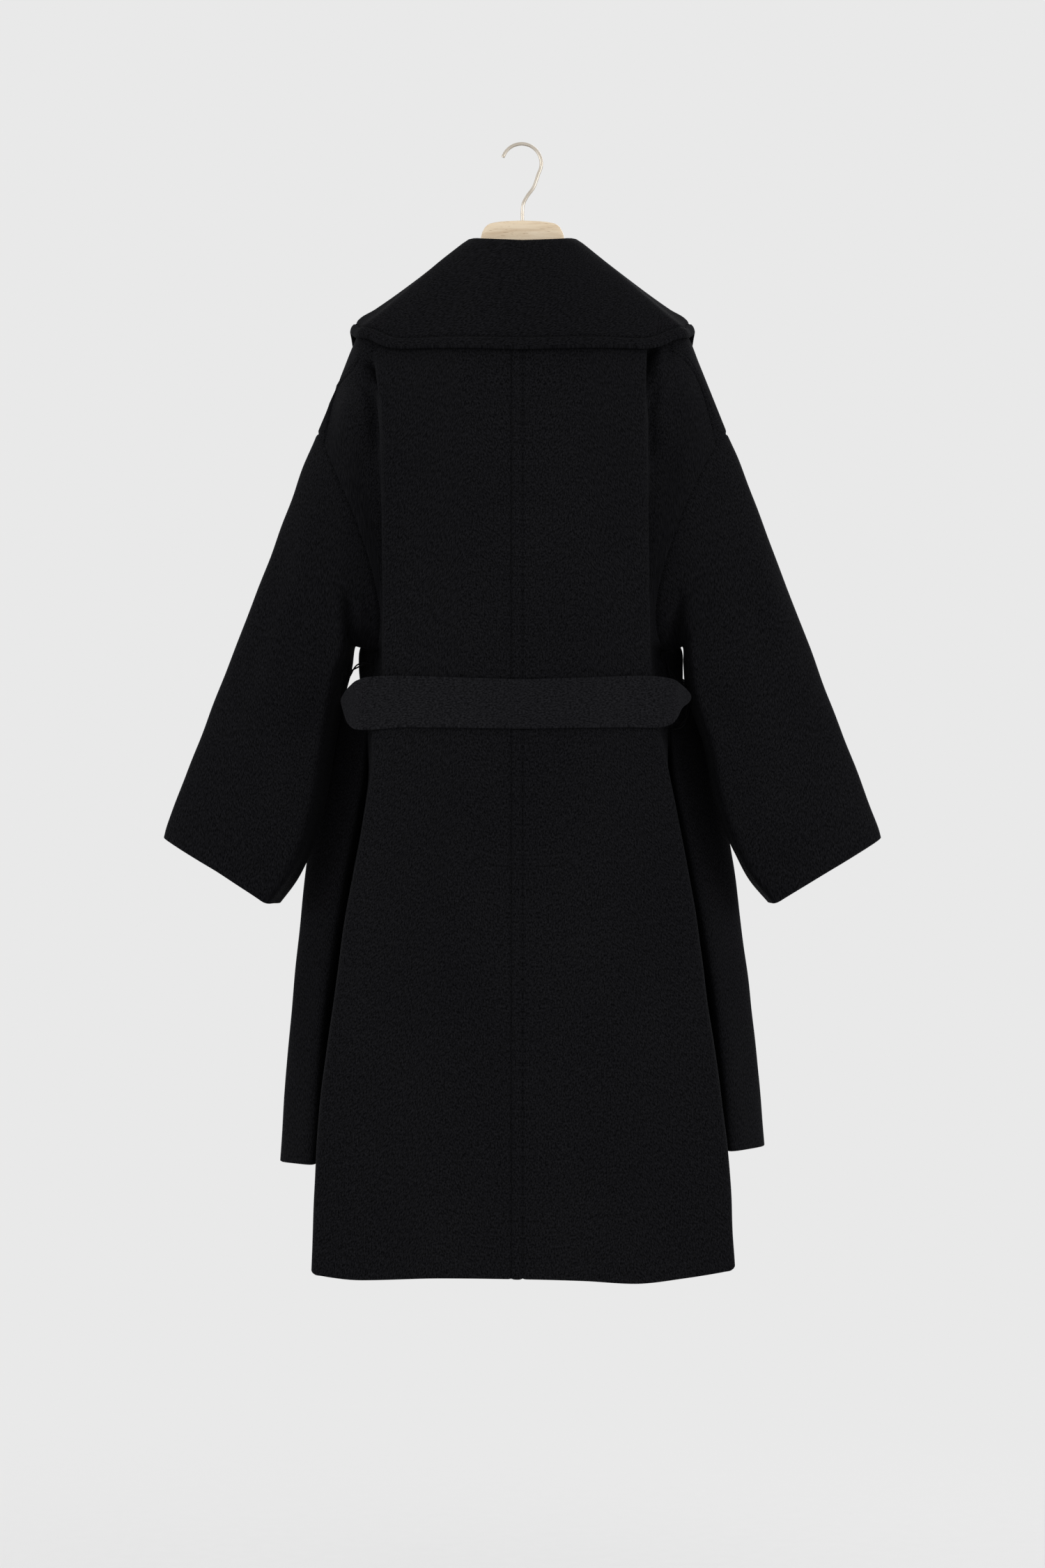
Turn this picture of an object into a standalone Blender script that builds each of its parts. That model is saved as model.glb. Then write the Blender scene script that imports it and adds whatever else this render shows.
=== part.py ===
"""A belted wool coat on a wooden hanger, as it hangs with its back towards -Y.

Metres, +Z up. The origin is the inner top of the hook's bend, where the hook rests on a rail.
"Left" is the wearer's left, at -X. Panels are worked out on their own side, where x grows away
from the centre line, and the left ones are then mirrored.
"""

import math

import bmesh
import bpy
import numpy as np

# Walls and clearances
CLOTH = 0.0025
COLLAR_WALL = 0.0045
COLLAR_SEAM_WALL = 0.0030
BELT_WALL = 0.0040
SEAM_GAP = 0.0003
LAY_GAP = 0.0020

# Shoulders and neck
NECK_HALF = 0.070
SHOULDER_ROUND = 0.020
SHOULDER_FALL = 0.160
ROUND_SHARE = 0.25

# Armholes
ARMHOLE_TOP = -0.3288
ARMHOLE_BOTTOM = -0.5760
ARMHOLE_DEPTH = 0.0500
RING_POINTS = 24
SEAM_RING_STEP = 2

# Hems
BACK_HEM = -1.2800
SEAM_HEM = {"left": -1.1630, "right": -1.1470}
FRONT_HEM = {"left": -1.1620, "right": -1.1440}

# Front overlap: the right front lies over the left one
OVERLAP_LIFT = 0.0045
OVERLAP_FULL = 0.060
OVERLAP_FADE = 0.110

SIDES = {"left": -1.0, "right": 1.0}

WOOL = ("black wool", (0.012, 0.012, 0.014), 0.95, 0.0)
WOOD = ("pale beech", (0.78, 0.62, 0.42), 0.45, 0.0)
STEEL = ("brushed nickel", (0.60, 0.56, 0.50), 0.32, 1.0)


def hermite(xs, ys, at):
    """A smooth curve through the points (xs, ys) that never overshoots them, read at the places given."""
    order = np.argsort(xs)
    xs = xs[order]
    ys = ys[order]
    step = np.diff(xs)
    rise = np.diff(ys) / step
    slope = np.zeros_like(ys)
    slope[0] = rise[0]
    slope[-1] = rise[-1]
    product = rise[:-1] * rise[1:]
    total = rise[:-1] + rise[1:]
    keeps_sign = product > 0
    slope[1:-1][keeps_sign] = 2 * product[keeps_sign] / total[keeps_sign]
    at = np.clip(np.asarray(at, float), xs[0], xs[-1])
    i = np.clip(np.searchsorted(xs, at) - 1, 0, len(step) - 1)
    t = (at - xs[i]) / step[i]
    start = (2 * t**3 - 3 * t**2 + 1) * ys[i] + (t**3 - 2 * t**2 + t) * step[i] * slope[i]
    end = (3 * t**2 - 2 * t**3) * ys[i + 1] + (t**3 - t**2) * step[i] * slope[i + 1]
    return start + end


class Table:
    """Rows of sizes under named columns, read smoothly by the first column."""

    def __init__(self, names, *rows):
        self.names = names.split()
        self.columns = dict(zip(self.names, np.array(rows, float).T))

    def at(self, name, where):
        return hermite(self.columns[self.names[0]], self.columns[name], where)

    def column(self, name):
        return self.columns[name]


# The shoulder's top line, from the neck over the hanger's tip to the armhole
RIDGE = Table(
    "x z",
    (0.000, -0.1245),
    (0.070, -0.1255),
    (0.085, -0.1375),
    (0.100, -0.1490),
    (0.135, -0.1728),
    (0.165, -0.1935),
    (0.183, -0.2080),
    (0.1945, -0.2320),
    (0.2082, -0.2667),
    (0.2241, -0.3049),
    (0.2360, -0.3288),
)

# How far the shoulder seam lies below that line, on the back
SEAM_DROP = Table(
    "x drop",
    (0.070, 0.012),
    (0.110, 0.030),
    (0.150, 0.044),
    (0.170, 0.044),
    (0.190, 0.036),
    (0.205, 0.024),
    (0.230, 0.030),
)

BACK_NECK = Table("x z", (0.000, -0.1520), (0.035, -0.1495), (0.070, -0.1375))

# The back by height: where its side folds lie, how far out its flat middle is, how deep the folds are
BACK = Table(
    "z fold_left fold_right flat depth",
    (-0.160, 0.1760, 0.1440, -0.072, 0.004),
    (-0.250, 0.1730, 0.1430, -0.092, 0.010),
    (-0.300, 0.1630, 0.1400, -0.095, 0.026),
    (-0.350, 0.1580, 0.1395, -0.095, 0.037),
    (-0.480, 0.1570, 0.1415, -0.092, 0.042),
    (-0.610, 0.1570, 0.1445, -0.088, 0.042),
    (-0.655, 0.1590, 0.1465, -0.088, 0.042),
    (-0.672, 0.1680, 0.1545, -0.088, 0.043),
    (-0.695, 0.1675, 0.1595, -0.089, 0.045),
    (-0.725, 0.1710, 0.1662, -0.091, 0.047),
    (-0.780, 0.1800, 0.1772, -0.093, 0.050),
    (-0.835, 0.1909, 0.1865, -0.095, 0.052),
    (-0.889, 0.1995, 0.1963, -0.096, 0.052),
    (-0.959, 0.2092, 0.2055, -0.098, 0.054),
    (-1.020, 0.2185, 0.2150, -0.099, 0.054),
    (-1.096, 0.2275, 0.2243, -0.101, 0.054),
    (-1.155, 0.2312, 0.2312, -0.102, 0.054),
    (-1.285, 0.2360, 0.2370, -0.105, 0.052),
)

# The rolled edge of a back fold: places along x when it is opened flat and when it is folded under,
# and the share of the fold's depth that each has reached
FOLD_START = 0.012
FOLD_FULL_DEPTH = 0.042
FOLD = Table(
    "spread folded share",
    (-0.0050, -0.0040, 0.035),
    (0.0020, -0.0005, 0.130),
    (0.0090, 0.0000, 0.330),
    (0.0160, -0.0008, 0.570),
    (0.0230, -0.0010, 0.780),
    (0.0300, -0.0006, 0.930),
    (0.0370, 0.0000, 1.000),
)
OUTER_COLUMNS = 3

ARMHOLE = Table(
    "z left right",
    (-0.3288, 0.2344, 0.2336),
    (-0.3580, 0.2209, 0.2130),
    (-0.3950, 0.2044, 0.1940),
    (-0.4260, 0.1910, 0.1800),
    (-0.4540, 0.1807, 0.1695),
    (-0.4890, 0.1705, 0.1590),
    (-0.5205, 0.1642, 0.1530),
    (-0.5440, 0.1615, 0.1515),
    (-0.5760, 0.1668, 0.1600),
)

SIDE_SEAM = Table(
    "z left right y",
    (-0.576, 0.1668, 0.1600, 0.000),
    (-0.615, 0.1730, 0.1640, 0.006),
    (-0.670, 0.1790, 0.1680, 0.010),
    (-0.695, 0.1760, 0.1660, 0.018),
    (-0.740, 0.1800, 0.1715, 0.030),
    (-0.850, 0.1985, 0.1915, 0.040),
    (-1.020, 0.2225, 0.2170, 0.040),
    (-1.190, 0.2345, 0.2335, 0.036),
)
# Below this height the side seam is turned in
SEAM_TURNS_IN = -0.680

# The fronts by height: how far each side swells past the seam, how far forward, the flat front, and
# how far back a ridge stands beside the seam on each side
FRONT = Table(
    "z out_left out_right side flat ridge_left ridge_right",
    (-0.160, -0.010, -0.010, 0.022, 0.052, 0.000, 0.000),
    (-0.329, -0.010, -0.010, 0.030, 0.072, 0.000, 0.000),
    (-0.395, -0.008, -0.008, 0.056, 0.080, 0.000, 0.000),
    (-0.454, -0.006, -0.006, 0.062, 0.084, 0.000, 0.000),
    (-0.520, 0.000, 0.000, 0.058, 0.085, 0.000, 0.000),
    (-0.576, 0.021, 0.024, 0.034, 0.084, 0.000, 0.000),
    (-0.615, 0.014, 0.020, 0.034, 0.081, 0.000, 0.000),
    (-0.629, 0.011, 0.014, 0.034, 0.080, 0.000, 0.000),
    (-0.638, 0.026, 0.034, 0.038, 0.081, 0.000, 0.000),
    (-0.650, 0.041, 0.043, 0.042, 0.081, 0.000, 0.000),
    (-0.664, 0.047, 0.047, 0.044, 0.082, 0.000, 0.000),
    (-0.690, 0.056, 0.055, 0.048, 0.084, 0.000, 0.002),
    (-0.740, 0.059, 0.059, 0.048, 0.089, 0.015, 0.023),
    (-0.820, 0.056, 0.057, 0.044, 0.094, 0.028, 0.041),
    (-0.900, 0.051, 0.053, 0.036, 0.098, 0.035, 0.050),
    (-1.020, 0.046, 0.051, 0.032, 0.101, 0.038, 0.053),
    (-1.170, 0.046, 0.049, 0.030, 0.102, 0.040, 0.053),
)
STRIP_SHARES = (0.60, 0.17, 0.00)
RIDGE_SHARES = (0.63, 1.00, 0.00)
FRONT_CORNER = 0.040

# The front edge: a neckline that closes where the fronts cross, then the overlap down to the hem
FRONT_EDGE = Table(
    "z x",
    (-0.121, 0.0700),
    (-0.150, 0.0705),
    (-0.200, 0.0660),
    (-0.260, 0.0570),
    (-0.330, 0.0420),
    (-0.400, 0.0260),
    (-0.460, 0.0110),
    (-0.520, -0.0060),
    (-0.600, -0.0300),
    (-0.670, -0.0420),
    (-0.800, -0.0500),
    (-1.170, -0.0550),
)

# Shares of the way from the underarm to the hem at which the body has a row of points
LOWER_ROWS = (0.035, 0.070, 0.091, 0.107, 0.135, 0.180, 0.240, 0.310, 0.420, 0.560, 0.710, 0.860, 1.000)

# The sleeve from armhole to cuff: its outer and inner edges and half its depth
SLEEVE = Table(
    "share outer_x outer_z inner_left inner_right inner_z half",
    (0.06, 0.2480, -0.3600, 0.1755, 0.1690, -0.5745, 0.0490),
    (0.14, 0.2640, -0.4040, 0.1855, 0.1795, -0.5725, 0.0470),
    (0.23, 0.2830, -0.4550, 0.1945, 0.1845, -0.5725, 0.0450),
    (0.34, 0.3055, -0.5140, 0.2015, 0.1870, -0.5950, 0.0430),
    (0.46, 0.3300, -0.5780, 0.2095, 0.1940, -0.6290, 0.0410),
    (0.58, 0.3545, -0.6420, 0.2200, 0.2110, -0.6860, 0.0390),
    (0.71, 0.3790, -0.7060, 0.2305, 0.2220, -0.7480, 0.0370),
    (0.85, 0.3980, -0.7560, 0.2440, 0.2380, -0.8080, 0.0360),
    (0.94, 0.4070, -0.7800, 0.2635, 0.2610, -0.8430, 0.0350),
    (1.00, 0.4095, -0.7900, 0.2830, 0.2830, -0.8650, 0.0350),
)
# Towards the body a sleeve ends in a blunt side that slants forward
SLEEVE_BLUNT = 0.58
SLEEVE_SLANT = {"left": 0.25, "right": 0.06}
SLEEVE_BLUNT_START = 0.10
SLEEVE_BLUNT_FULL = 0.34

# The collar, station by station along the neck: 0 at the centre back, 2 where the shoulder seam
# meets the neck, 4 on the shoulder's top line, 11 at the tip of the lapel. The roll is its fold and
# the edge its free edge. "y" is how far its underside stands off the body there, towards the back
# where it is negative, "arch" is how far it swells between roll and edge, and "droop" how far its
# edge hangs down.
COLLAR = Table(
    "station roll_x roll_z roll_y edge_x edge_z edge_y arch droop",
    (0.0, 0.0000, -0.1195, -0.0480, 0.0000, -0.2415, -0.0040, 0.005, 0.000),
    (1.0, 0.0290, -0.1185, -0.0465, 0.0720, -0.2398, -0.0040, 0.005, 0.000),
    (1.5, 0.0480, -0.1165, -0.0400, 0.1430, -0.2385, -0.0040, 0.005, 0.000),
    (2.0, 0.0560, -0.1140, -0.0290, 0.1690, -0.2265, -0.0070, 0.003, 0.001),
    (3.0, 0.0600, -0.1125, -0.0150, 0.1885, -0.2185, -0.0115, 0.000, 0.002),
    (4.0, 0.0610, -0.1125, 0.0020, 0.1935, -0.2085, 0.0040, -0.002, 0.006),
    (5.0, 0.0615, -0.1190, 0.0220, 0.1920, -0.2280, 0.0240, 0.003, 0.003),
    (6.0, 0.0610, -0.1450, 0.0150, 0.1870, -0.2660, 0.0150, 0.006, 0.000),
    (7.0, 0.0580, -0.1820, 0.0090, 0.1770, -0.3080, 0.0090, 0.007, 0.000),
    (8.0, 0.0520, -0.2290, 0.0060, 0.1620, -0.3500, 0.0060, 0.007, 0.000),
    (9.0, 0.0430, -0.2860, 0.0050, 0.1380, -0.3970, 0.0040, 0.007, 0.000),
    (10.0, 0.0300, -0.3470, 0.0050, 0.1040, -0.4430, 0.0040, 0.006, 0.000),
    (11.0, 0.0155, -0.4090, 0.0050, 0.0620, -0.4710, 0.0040, 0.004, 0.000),
)
COLLAR_STATIONS = (0, 0.5, 1, 1.25, 1.5, 1.75, 2, 2.5, 3, 3.5, 4, 4.5, 5, 5.5, 6, 6.5, 7, 8, 9, 10, 11)
FALL_SHARES = (1.0, 0.95, 0.80, 0.60, 0.40, 0.22, 0.09)
STAND_SHARES = (0.30, 0.65, 1.0)

# The belt from the centre back round to the centre front: its middle line and its two edges on each
# side. At the sides it is pinched together.
BELT = Table(
    "turn left right y top_left bottom_left top_right bottom_right",
    (0.00, 0.0000, 0.0000, -0.0910, -0.6140, -0.6655, -0.6140, -0.6655),
    (0.14, 0.0700, 0.0700, -0.0912, -0.6120, -0.6645, -0.6120, -0.6645),
    (0.27, 0.1400, 0.1320, -0.0912, -0.6100, -0.6640, -0.6100, -0.6640),
    (0.35, 0.1720, 0.1590, -0.0900, -0.6110, -0.6672, -0.6115, -0.6650),
    (0.41, 0.1920, 0.1770, -0.0640, -0.6190, -0.6600, -0.6185, -0.6440),
    (0.48, 0.2030, 0.1875, -0.0300, -0.6305, -0.6460, -0.6255, -0.6355),
    (0.56, 0.2000, 0.1860, 0.0150, -0.6270, -0.6370, -0.6190, -0.6300),
    (0.64, 0.1970, 0.1870, 0.0550, -0.6150, -0.6310, -0.6100, -0.6270),
    (0.72, 0.1725, 0.1685, 0.0825, -0.6080, -0.6320, -0.6060, -0.6310),
    (0.84, 0.1000, 0.1000, 0.0880, -0.6090, -0.6500, -0.6090, -0.6500),
    (1.00, 0.0000, 0.0000, 0.0888, -0.6130, -0.6650, -0.6130, -0.6650),
)
BELT_STEPS = 20

# The knot and the two ends of the belt, in front. An end leaves the knot gathered, then widens.
KNOT_HALF_WIDTH = 0.027
KNOT_HALF_HEIGHT = 0.031
KNOT_DEPTH = 0.026
KNOT_CORNER = 0.18
TAIL_SEAT = 0.0006
TAIL_OFF_BELT = 0.006
TAIL_ROWS = 11
TAIL_COLUMNS = 4
TAIL_WIDTH = Table("share half", (0.00, 0.0120), (0.10, 0.0190), (0.25, 0.0255), (1.00, 0.0265))
TAILS = Table("side start lean bottom", (-1.0, 0.0130, 0.060, -1.020), (1.0, 0.0130, 0.045, -0.975))

# The thread loops that carry the belt at the side seams
THREAD_RADIUS = 0.0009
THREAD_ATTACH = 0.0016
LOOP_TOP = -0.5900
LOOP_BOTTOM = -0.6680
LOOP_CLEAR = 0.0014
LOOP_TURN = 0.54

# The hanger by half its width: its top and bottom lines, and half its thickness. Under the shoulders
# its top keeps a seat's gap below the cloth.
HANGER_SEAT = 0.0009
HANGER_ARM_START = 0.092
HANGER_ARM_END = 0.172
HANGER_ARM_SLOPE = 1.24
HANGER_RING = 12
HANGER_CREST = -0.0856
HANGER = Table(
    "x top bottom half",
    (0.0000, -0.0856, -0.1500, 0.0070),
    (0.0200, -0.0864, -0.1500, 0.0070),
    (0.0350, -0.0885, -0.1510, 0.0070),
    (0.0410, -0.0912, -0.1520, 0.0070),
    (0.0445, -0.0960, -0.1530, 0.0070),
    (0.0474, -0.1027, -0.1540, 0.0070),
    (0.0500, -0.1150, -0.1550, 0.0070),
    (0.0540, -0.1290, -0.1565, 0.0070),
    (0.0650, -0.1370, -0.1600, 0.0070),
    (0.0800, -0.1410, -0.1660, 0.0068),
    (0.0920, -0.1480, -0.1720, 0.0066),
    (0.1200, -0.1650, -0.1900, 0.0064),
    (0.1500, -0.1850, -0.2110, 0.0062),
    (0.1680, -0.1970, -0.2240, 0.0060),
    (0.1750, -0.2075, -0.2270, 0.0055),
    (0.1780, -0.2130, -0.2240, 0.0042),
)
WIRE_RADIUS = 0.0020
HOOK_RADIUS = 0.0225
HOOK_CENTRE_X = -0.0010
HOOK_STEM_TOP = -0.0700
HOOK_END_TURN = math.radians(162)
HOOK_START_TURN = math.radians(-30)


def mesh_object(name, bm, material, parts):
    """A named object from a bmesh, with its faces turned outwards."""
    bmesh.ops.recalc_face_normals(bm, faces=bm.faces)
    mesh = bpy.data.meshes.new(name)
    bm.to_mesh(mesh)
    bm.free()
    mesh.shade_smooth()
    mesh.set_sharp_from_angle(angle=math.radians(50))
    mesh.materials.append(material)
    made = bpy.data.objects.new(name, mesh)
    parts.objects.link(made)
    return made


def material_of(finish):
    name, colour, roughness, metallic = finish
    made = bpy.data.materials.get(name) or bpy.data.materials.new(name)
    made.use_nodes = True
    shader = made.node_tree.nodes["Principled BSDF"]
    shader.inputs["Base Color"].default_value = (*colour, 1.0)
    shader.inputs["Roughness"].default_value = roughness
    shader.inputs["Metallic"].default_value = metallic
    return made


def unit(vectors):
    length = np.linalg.norm(vectors, axis=-1, keepdims=True)
    return vectors / np.maximum(length, 1e-9)


def wall(name, outer, inner, material, parts, ring=False, loop=False):
    """A closed wall between two grids of points, rows by columns. A ring's columns close on
    themselves, and so do a loop's rows."""
    rows, columns = outer.shape[:2]
    bm = bmesh.new()
    faces = []
    for grid in (outer, inner):
        faces.append([[bm.verts.new(point) for point in row] for row in grid])
    skins = faces
    row_pairs = [(r, (r + 1) % rows) for r in range(rows if loop else rows - 1)]
    column_pairs = [(c, (c + 1) % columns) for c in range(columns if ring else columns - 1)]
    for skin, turned in zip(skins, (False, True)):
        for r, r2 in row_pairs:
            for c, c2 in column_pairs:
                quad = [skin[r][c], skin[r][c2], skin[r2][c2], skin[r2][c]]
                bm.faces.new(quad[::-1] if turned else quad)
    out, into = skins
    if not loop:
        for r in (0, rows - 1):
            for c, c2 in column_pairs:
                bm.faces.new([out[r][c], out[r][c2], into[r][c2], into[r][c]])
    if not ring:
        for c in (0, columns - 1):
            for r, r2 in row_pairs:
                bm.faces.new([out[r][c], out[r2][c], into[r2][c], into[r][c]])
    return mesh_object(name, bm, material, parts)


def grid_normals(grid, ring=False):
    """Unit normals of a grid of points, from its neighbours."""
    down = np.gradient(grid, axis=0)
    if ring:
        across = np.roll(grid, -1, axis=1) - np.roll(grid, 1, axis=1)
    else:
        across = np.gradient(grid, axis=1)
    return unit(np.cross(across, down))


def pulled(points, towards, distance):
    """Points moved a little towards their neighbours, which opens a seam."""
    return points + unit(towards - points) * distance


def mirrored(points, side):
    return points * np.array([SIDES[side], 1.0, 1.0])


# The body's surface


def round_over(drop):
    """How much of its full depth the body has at this drop below the shoulder's top line."""
    drop = np.maximum(drop, 0.0)
    near = np.clip(drop / SHOULDER_ROUND, 0, 1)
    far = np.clip(drop / SHOULDER_FALL, 0, 1)
    return ROUND_SHARE * np.sqrt(1 - (1 - near) ** 2) + (1 - ROUND_SHARE) * far * (2 - far)


def body_depth(face, x, z):
    """How far the flat of the back (face -1) or of the front (face 1) stands from the middle plane."""
    back = -BACK.at("flat", z)
    front = FRONT.at("flat", z)
    flat = np.where(np.asarray(face) < 0, back, front)
    drop = RIDGE.at("z", np.abs(x)) - z
    lift = overlap_lift("right", np.asarray(x, float)) * np.clip(drop / 0.30, 0, 1)
    return flat * round_over(drop) + np.where(np.asarray(face) < 0, 0.0, lift)


def armhole_height(step):
    middle = (ARMHOLE_TOP + ARMHOLE_BOTTOM) / 2
    half = (ARMHOLE_TOP - ARMHOLE_BOTTOM) / 2
    return middle + half * np.cos(2 * math.pi * np.asarray(step) / RING_POINTS)


def armhole_point(side, step):
    """A point of the armhole seam: step 0 is its top, a quarter of the ring is on the back."""
    z = armhole_height(step)
    y = -ARMHOLE_DEPTH * np.sin(2 * math.pi * np.asarray(step) / RING_POINTS)
    return np.stack([ARMHOLE.at(side, z), y, z], axis=-1)


def armhole_normal(step):
    """The outward direction of the cloth at the armhole seam, the same for body and sleeve."""
    turn = 2 * math.pi * np.asarray(step, float) / RING_POINTS
    out = 0.90 * np.abs(np.cos(turn)) + 0.30 * np.abs(np.sin(turn))
    return unit(np.stack([out, -np.sin(turn), 0.38 * np.cos(turn)], axis=-1))


def armhole_across(side, step):
    """The direction across the armhole seam, from the body towards the sleeve."""
    step = np.asarray(step, float)
    along = armhole_point(side, step + 0.1) - armhole_point(side, step - 0.1)
    across = unit(np.cross(armhole_normal(step), along))
    return across * np.where(across[..., :1] < 0, -1.0, 1.0)


def side_edge(side, face, z):
    """The outer edge of a body panel at heights z: the armhole seam, and the side seam below it."""
    top = armhole_height(SEAM_RING_STEP if face < 0 else 0)
    half = (ARMHOLE_TOP - ARMHOLE_BOTTOM) / 2
    middle = (ARMHOLE_TOP + ARMHOLE_BOTTOM) / 2
    high = np.clip(z, ARMHOLE_BOTTOM, top)
    y_armhole = face * ARMHOLE_DEPTH * np.sqrt(np.clip(1 - ((high - middle) / half) ** 2, 0, 1))
    above = z >= ARMHOLE_BOTTOM
    x = np.where(above, ARMHOLE.at(side, high), SIDE_SEAM.at(side, z))
    y = np.where(above, y_armhole, SIDE_SEAM.at("y", z))
    return x, y


def face_side(grid, normals, first):
    """Turns the normals along the side seam straight out, from that row down to where it is turned in."""
    high = np.arange(len(grid)) >= first
    high &= grid[:, -1, 2] > SEAM_TURNS_IN
    normals[high, -1] = (1.0, 0.0, 0.0)


def back_flat_shares(side):
    """Columns across the flat of the back: two for the neck, then even steps to the fold."""
    top_flat = BACK.column(f"fold_{side}")[0] - FOLD_START
    neck = NECK_HALF / top_flat
    return np.array([0, neck / 2, neck, neck + (1 - neck) / 3, neck + 2 * (1 - neck) / 3, 1])


NECK_COLUMN = 2
FLAT_COLUMNS = 6
BACK_COLUMNS = FLAT_COLUMNS + len(FOLD.column("share")) + OUTER_COLUMNS


def back_points(side, z):
    """The back's outer surface, one point for each of its columns, at that column's height in z."""
    fold = BACK.at(f"fold_{side}", z)
    flat = BACK.at("flat", z)
    depth = BACK.at("depth", z)
    closed = np.clip(depth / FOLD_FULL_DEPTH, 0, 1)
    edge_x, edge_y = side_edge(side, -1, z)
    low = np.minimum(z, armhole_height(SEAM_RING_STEP))
    edge_y = edge_y / round_over(RIDGE.at("z", edge_x) - low)
    x = np.zeros(BACK_COLUMNS)
    y = np.zeros(BACK_COLUMNS)
    x[:FLAT_COLUMNS] = back_flat_shares(side) * (fold - FOLD_START)[:FLAT_COLUMNS]
    y[:FLAT_COLUMNS] = flat[:FLAT_COLUMNS]
    rolled = slice(FLAT_COLUMNS, BACK_COLUMNS - OUTER_COLUMNS)
    spread = FOLD.column("spread") * (1 - closed[rolled]) + FOLD.column("folded") * closed[rolled]
    x[rolled] = fold[rolled] + spread
    y[rolled] = flat[rolled] + depth[rolled] * FOLD.column("share")
    last = FOLD.column("spread")[-1] * (1 - closed) + FOLD.column("folded")[-1] * closed
    for c in range(BACK_COLUMNS - OUTER_COLUMNS, BACK_COLUMNS):
        share = (c - (BACK_COLUMNS - OUTER_COLUMNS) + 1) / OUTER_COLUMNS
        x[c] = (fold[c] + last[c]) * (1 - share) + edge_x[c] * share
        y[c] = (flat[c] + depth[c]) * (1 - share) + edge_y[c] * share
    y = y * round_over(RIDGE.at("z", x) - z)
    return np.stack([x, y, z], axis=-1)


def back_top(side):
    """The height of each back column's top end: the neck, then the shoulder seam."""
    z = np.full(BACK_COLUMNS, -0.20)
    for _ in range(8):
        x = back_points(side, z)[:, 0]
        seam = RIDGE.at("z", x) - SEAM_DROP.at("drop", x)
        z = np.where(x < NECK_HALF, BACK_NECK.at("z", x), seam)
    z[-1] = armhole_height(SEAM_RING_STEP)
    return z


def back_hem(side):
    """The height of the hem at each back column. It rises on the side that is folded in."""
    hem = np.full(BACK_COLUMNS, BACK_HEM)
    share = np.clip((np.arange(BACK_COLUMNS) - FLAT_COLUMNS) / (BACK_COLUMNS - 1 - FLAT_COLUMNS), 0, 1)
    return hem + (SEAM_HEM[side] - BACK_HEM) * share**2


def upper_shares(first):
    """Rows from a panel's top to the underarm, spaced as the armhole seam's points are."""
    steps = np.arange(first, RING_POINTS // 2 + 1)
    z = armhole_height(steps)
    return (z[0] - z) / (z[0] - z[-1])


def back_grid(side):
    """Outer points and outward normals of one half of the back."""
    top = back_top(side)
    hem = back_hem(side)
    heights = [top + (ARMHOLE_BOTTOM - top) * share for share in upper_shares(SEAM_RING_STEP)]
    heights += [ARMHOLE_BOTTOM + (hem - ARMHOLE_BOTTOM) * share for share in LOWER_ROWS]
    grid = np.array([back_points(side, z) for z in heights])
    normals = grid_normals(grid)
    if normals[len(normals) // 2, 0, 1] > 0:
        normals = -normals
    normals[:, 0, 0] = 0.0
    steps = np.arange(SEAM_RING_STEP, RING_POINTS // 2 + 1)
    normals[: len(steps), -1] = armhole_normal(steps)
    face_side(grid, normals, len(steps))
    return grid, unit(normals)


def open_side(grid, side, steps):
    """Opens a body panel's seams with the sleeve, at those steps of the armhole, and with its neighbour."""
    last = len(steps) - 1
    grid[last:, -1] = pulled(grid[last:, -1], grid[last:, -2], SEAM_GAP / 2)
    grid[: last + 1, -1] -= armhole_across(side, steps) * SEAM_GAP / 2


def build_back(side, material, parts):
    grid, normals = back_grid(side)
    open_grid = grid.copy()
    open_grid[:, 0, 0] += SEAM_GAP / 2
    open_grid[0] = pulled(open_grid[0], open_grid[1], SEAM_GAP / 2)
    open_side(open_grid, side, np.arange(SEAM_RING_STEP, RING_POINTS // 2 + 1))
    outer = mirrored(open_grid, side)
    inner = mirrored(open_grid - normals * CLOTH, side)
    return wall(f"back_{side}", outer, inner, material, parts)


# The fronts

FRONT_COLUMNS = BACK_COLUMNS - NECK_COLUMN
FRONT_FLAT = 7
FRONT_TURNS = np.radians((25, 50, 75, 90))


def overlap_lift(side, x):
    """The right front stands off the left one where they overlap."""
    if side == "left":
        return np.zeros_like(x)
    share = np.clip((OVERLAP_FADE - x) / (OVERLAP_FADE - OVERLAP_FULL), 0, 1)
    return OVERLAP_LIFT * share * share * (3 - 2 * share)


def front_section(side, z):
    """The front's outer surface below the shoulder, one point for each column at its height in z."""
    edge_x, edge_y = side_edge(side, 1, z)
    swell_x = edge_x + FRONT.at(f"out_{side}", z)
    swell_y = FRONT.at("side", z)
    flat = FRONT.at("flat", z)
    ridge = FRONT.at(f"ridge_{side}", z)
    free = FRONT_EDGE.at("x", z)
    corner = swell_x - FRONT_CORNER
    x = np.zeros(FRONT_COLUMNS)
    y = np.zeros(FRONT_COLUMNS)
    shares = np.linspace(0, 1, FRONT_FLAT)
    x[:FRONT_FLAT] = free[:FRONT_FLAT] * (1 - shares) + corner[:FRONT_FLAT] * shares
    y[:FRONT_FLAT] = flat[:FRONT_FLAT]
    turn = slice(FRONT_FLAT, FRONT_FLAT + len(FRONT_TURNS))
    x[turn] = corner[turn] + FRONT_CORNER * np.sin(FRONT_TURNS)
    y[turn] = swell_y[turn] + (flat[turn] - swell_y[turn]) * np.cos(FRONT_TURNS)
    first = FRONT_FLAT + len(FRONT_TURNS)
    for c in range(first, FRONT_COLUMNS):
        share = STRIP_SHARES[c - first]
        x[c] = edge_x[c] + (swell_x[c] - edge_x[c]) * share
        y[c] = edge_y[c] + (swell_y[c] - edge_y[c]) * share - ridge[c] * RIDGE_SHARES[c - first]
    return x, y


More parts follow.
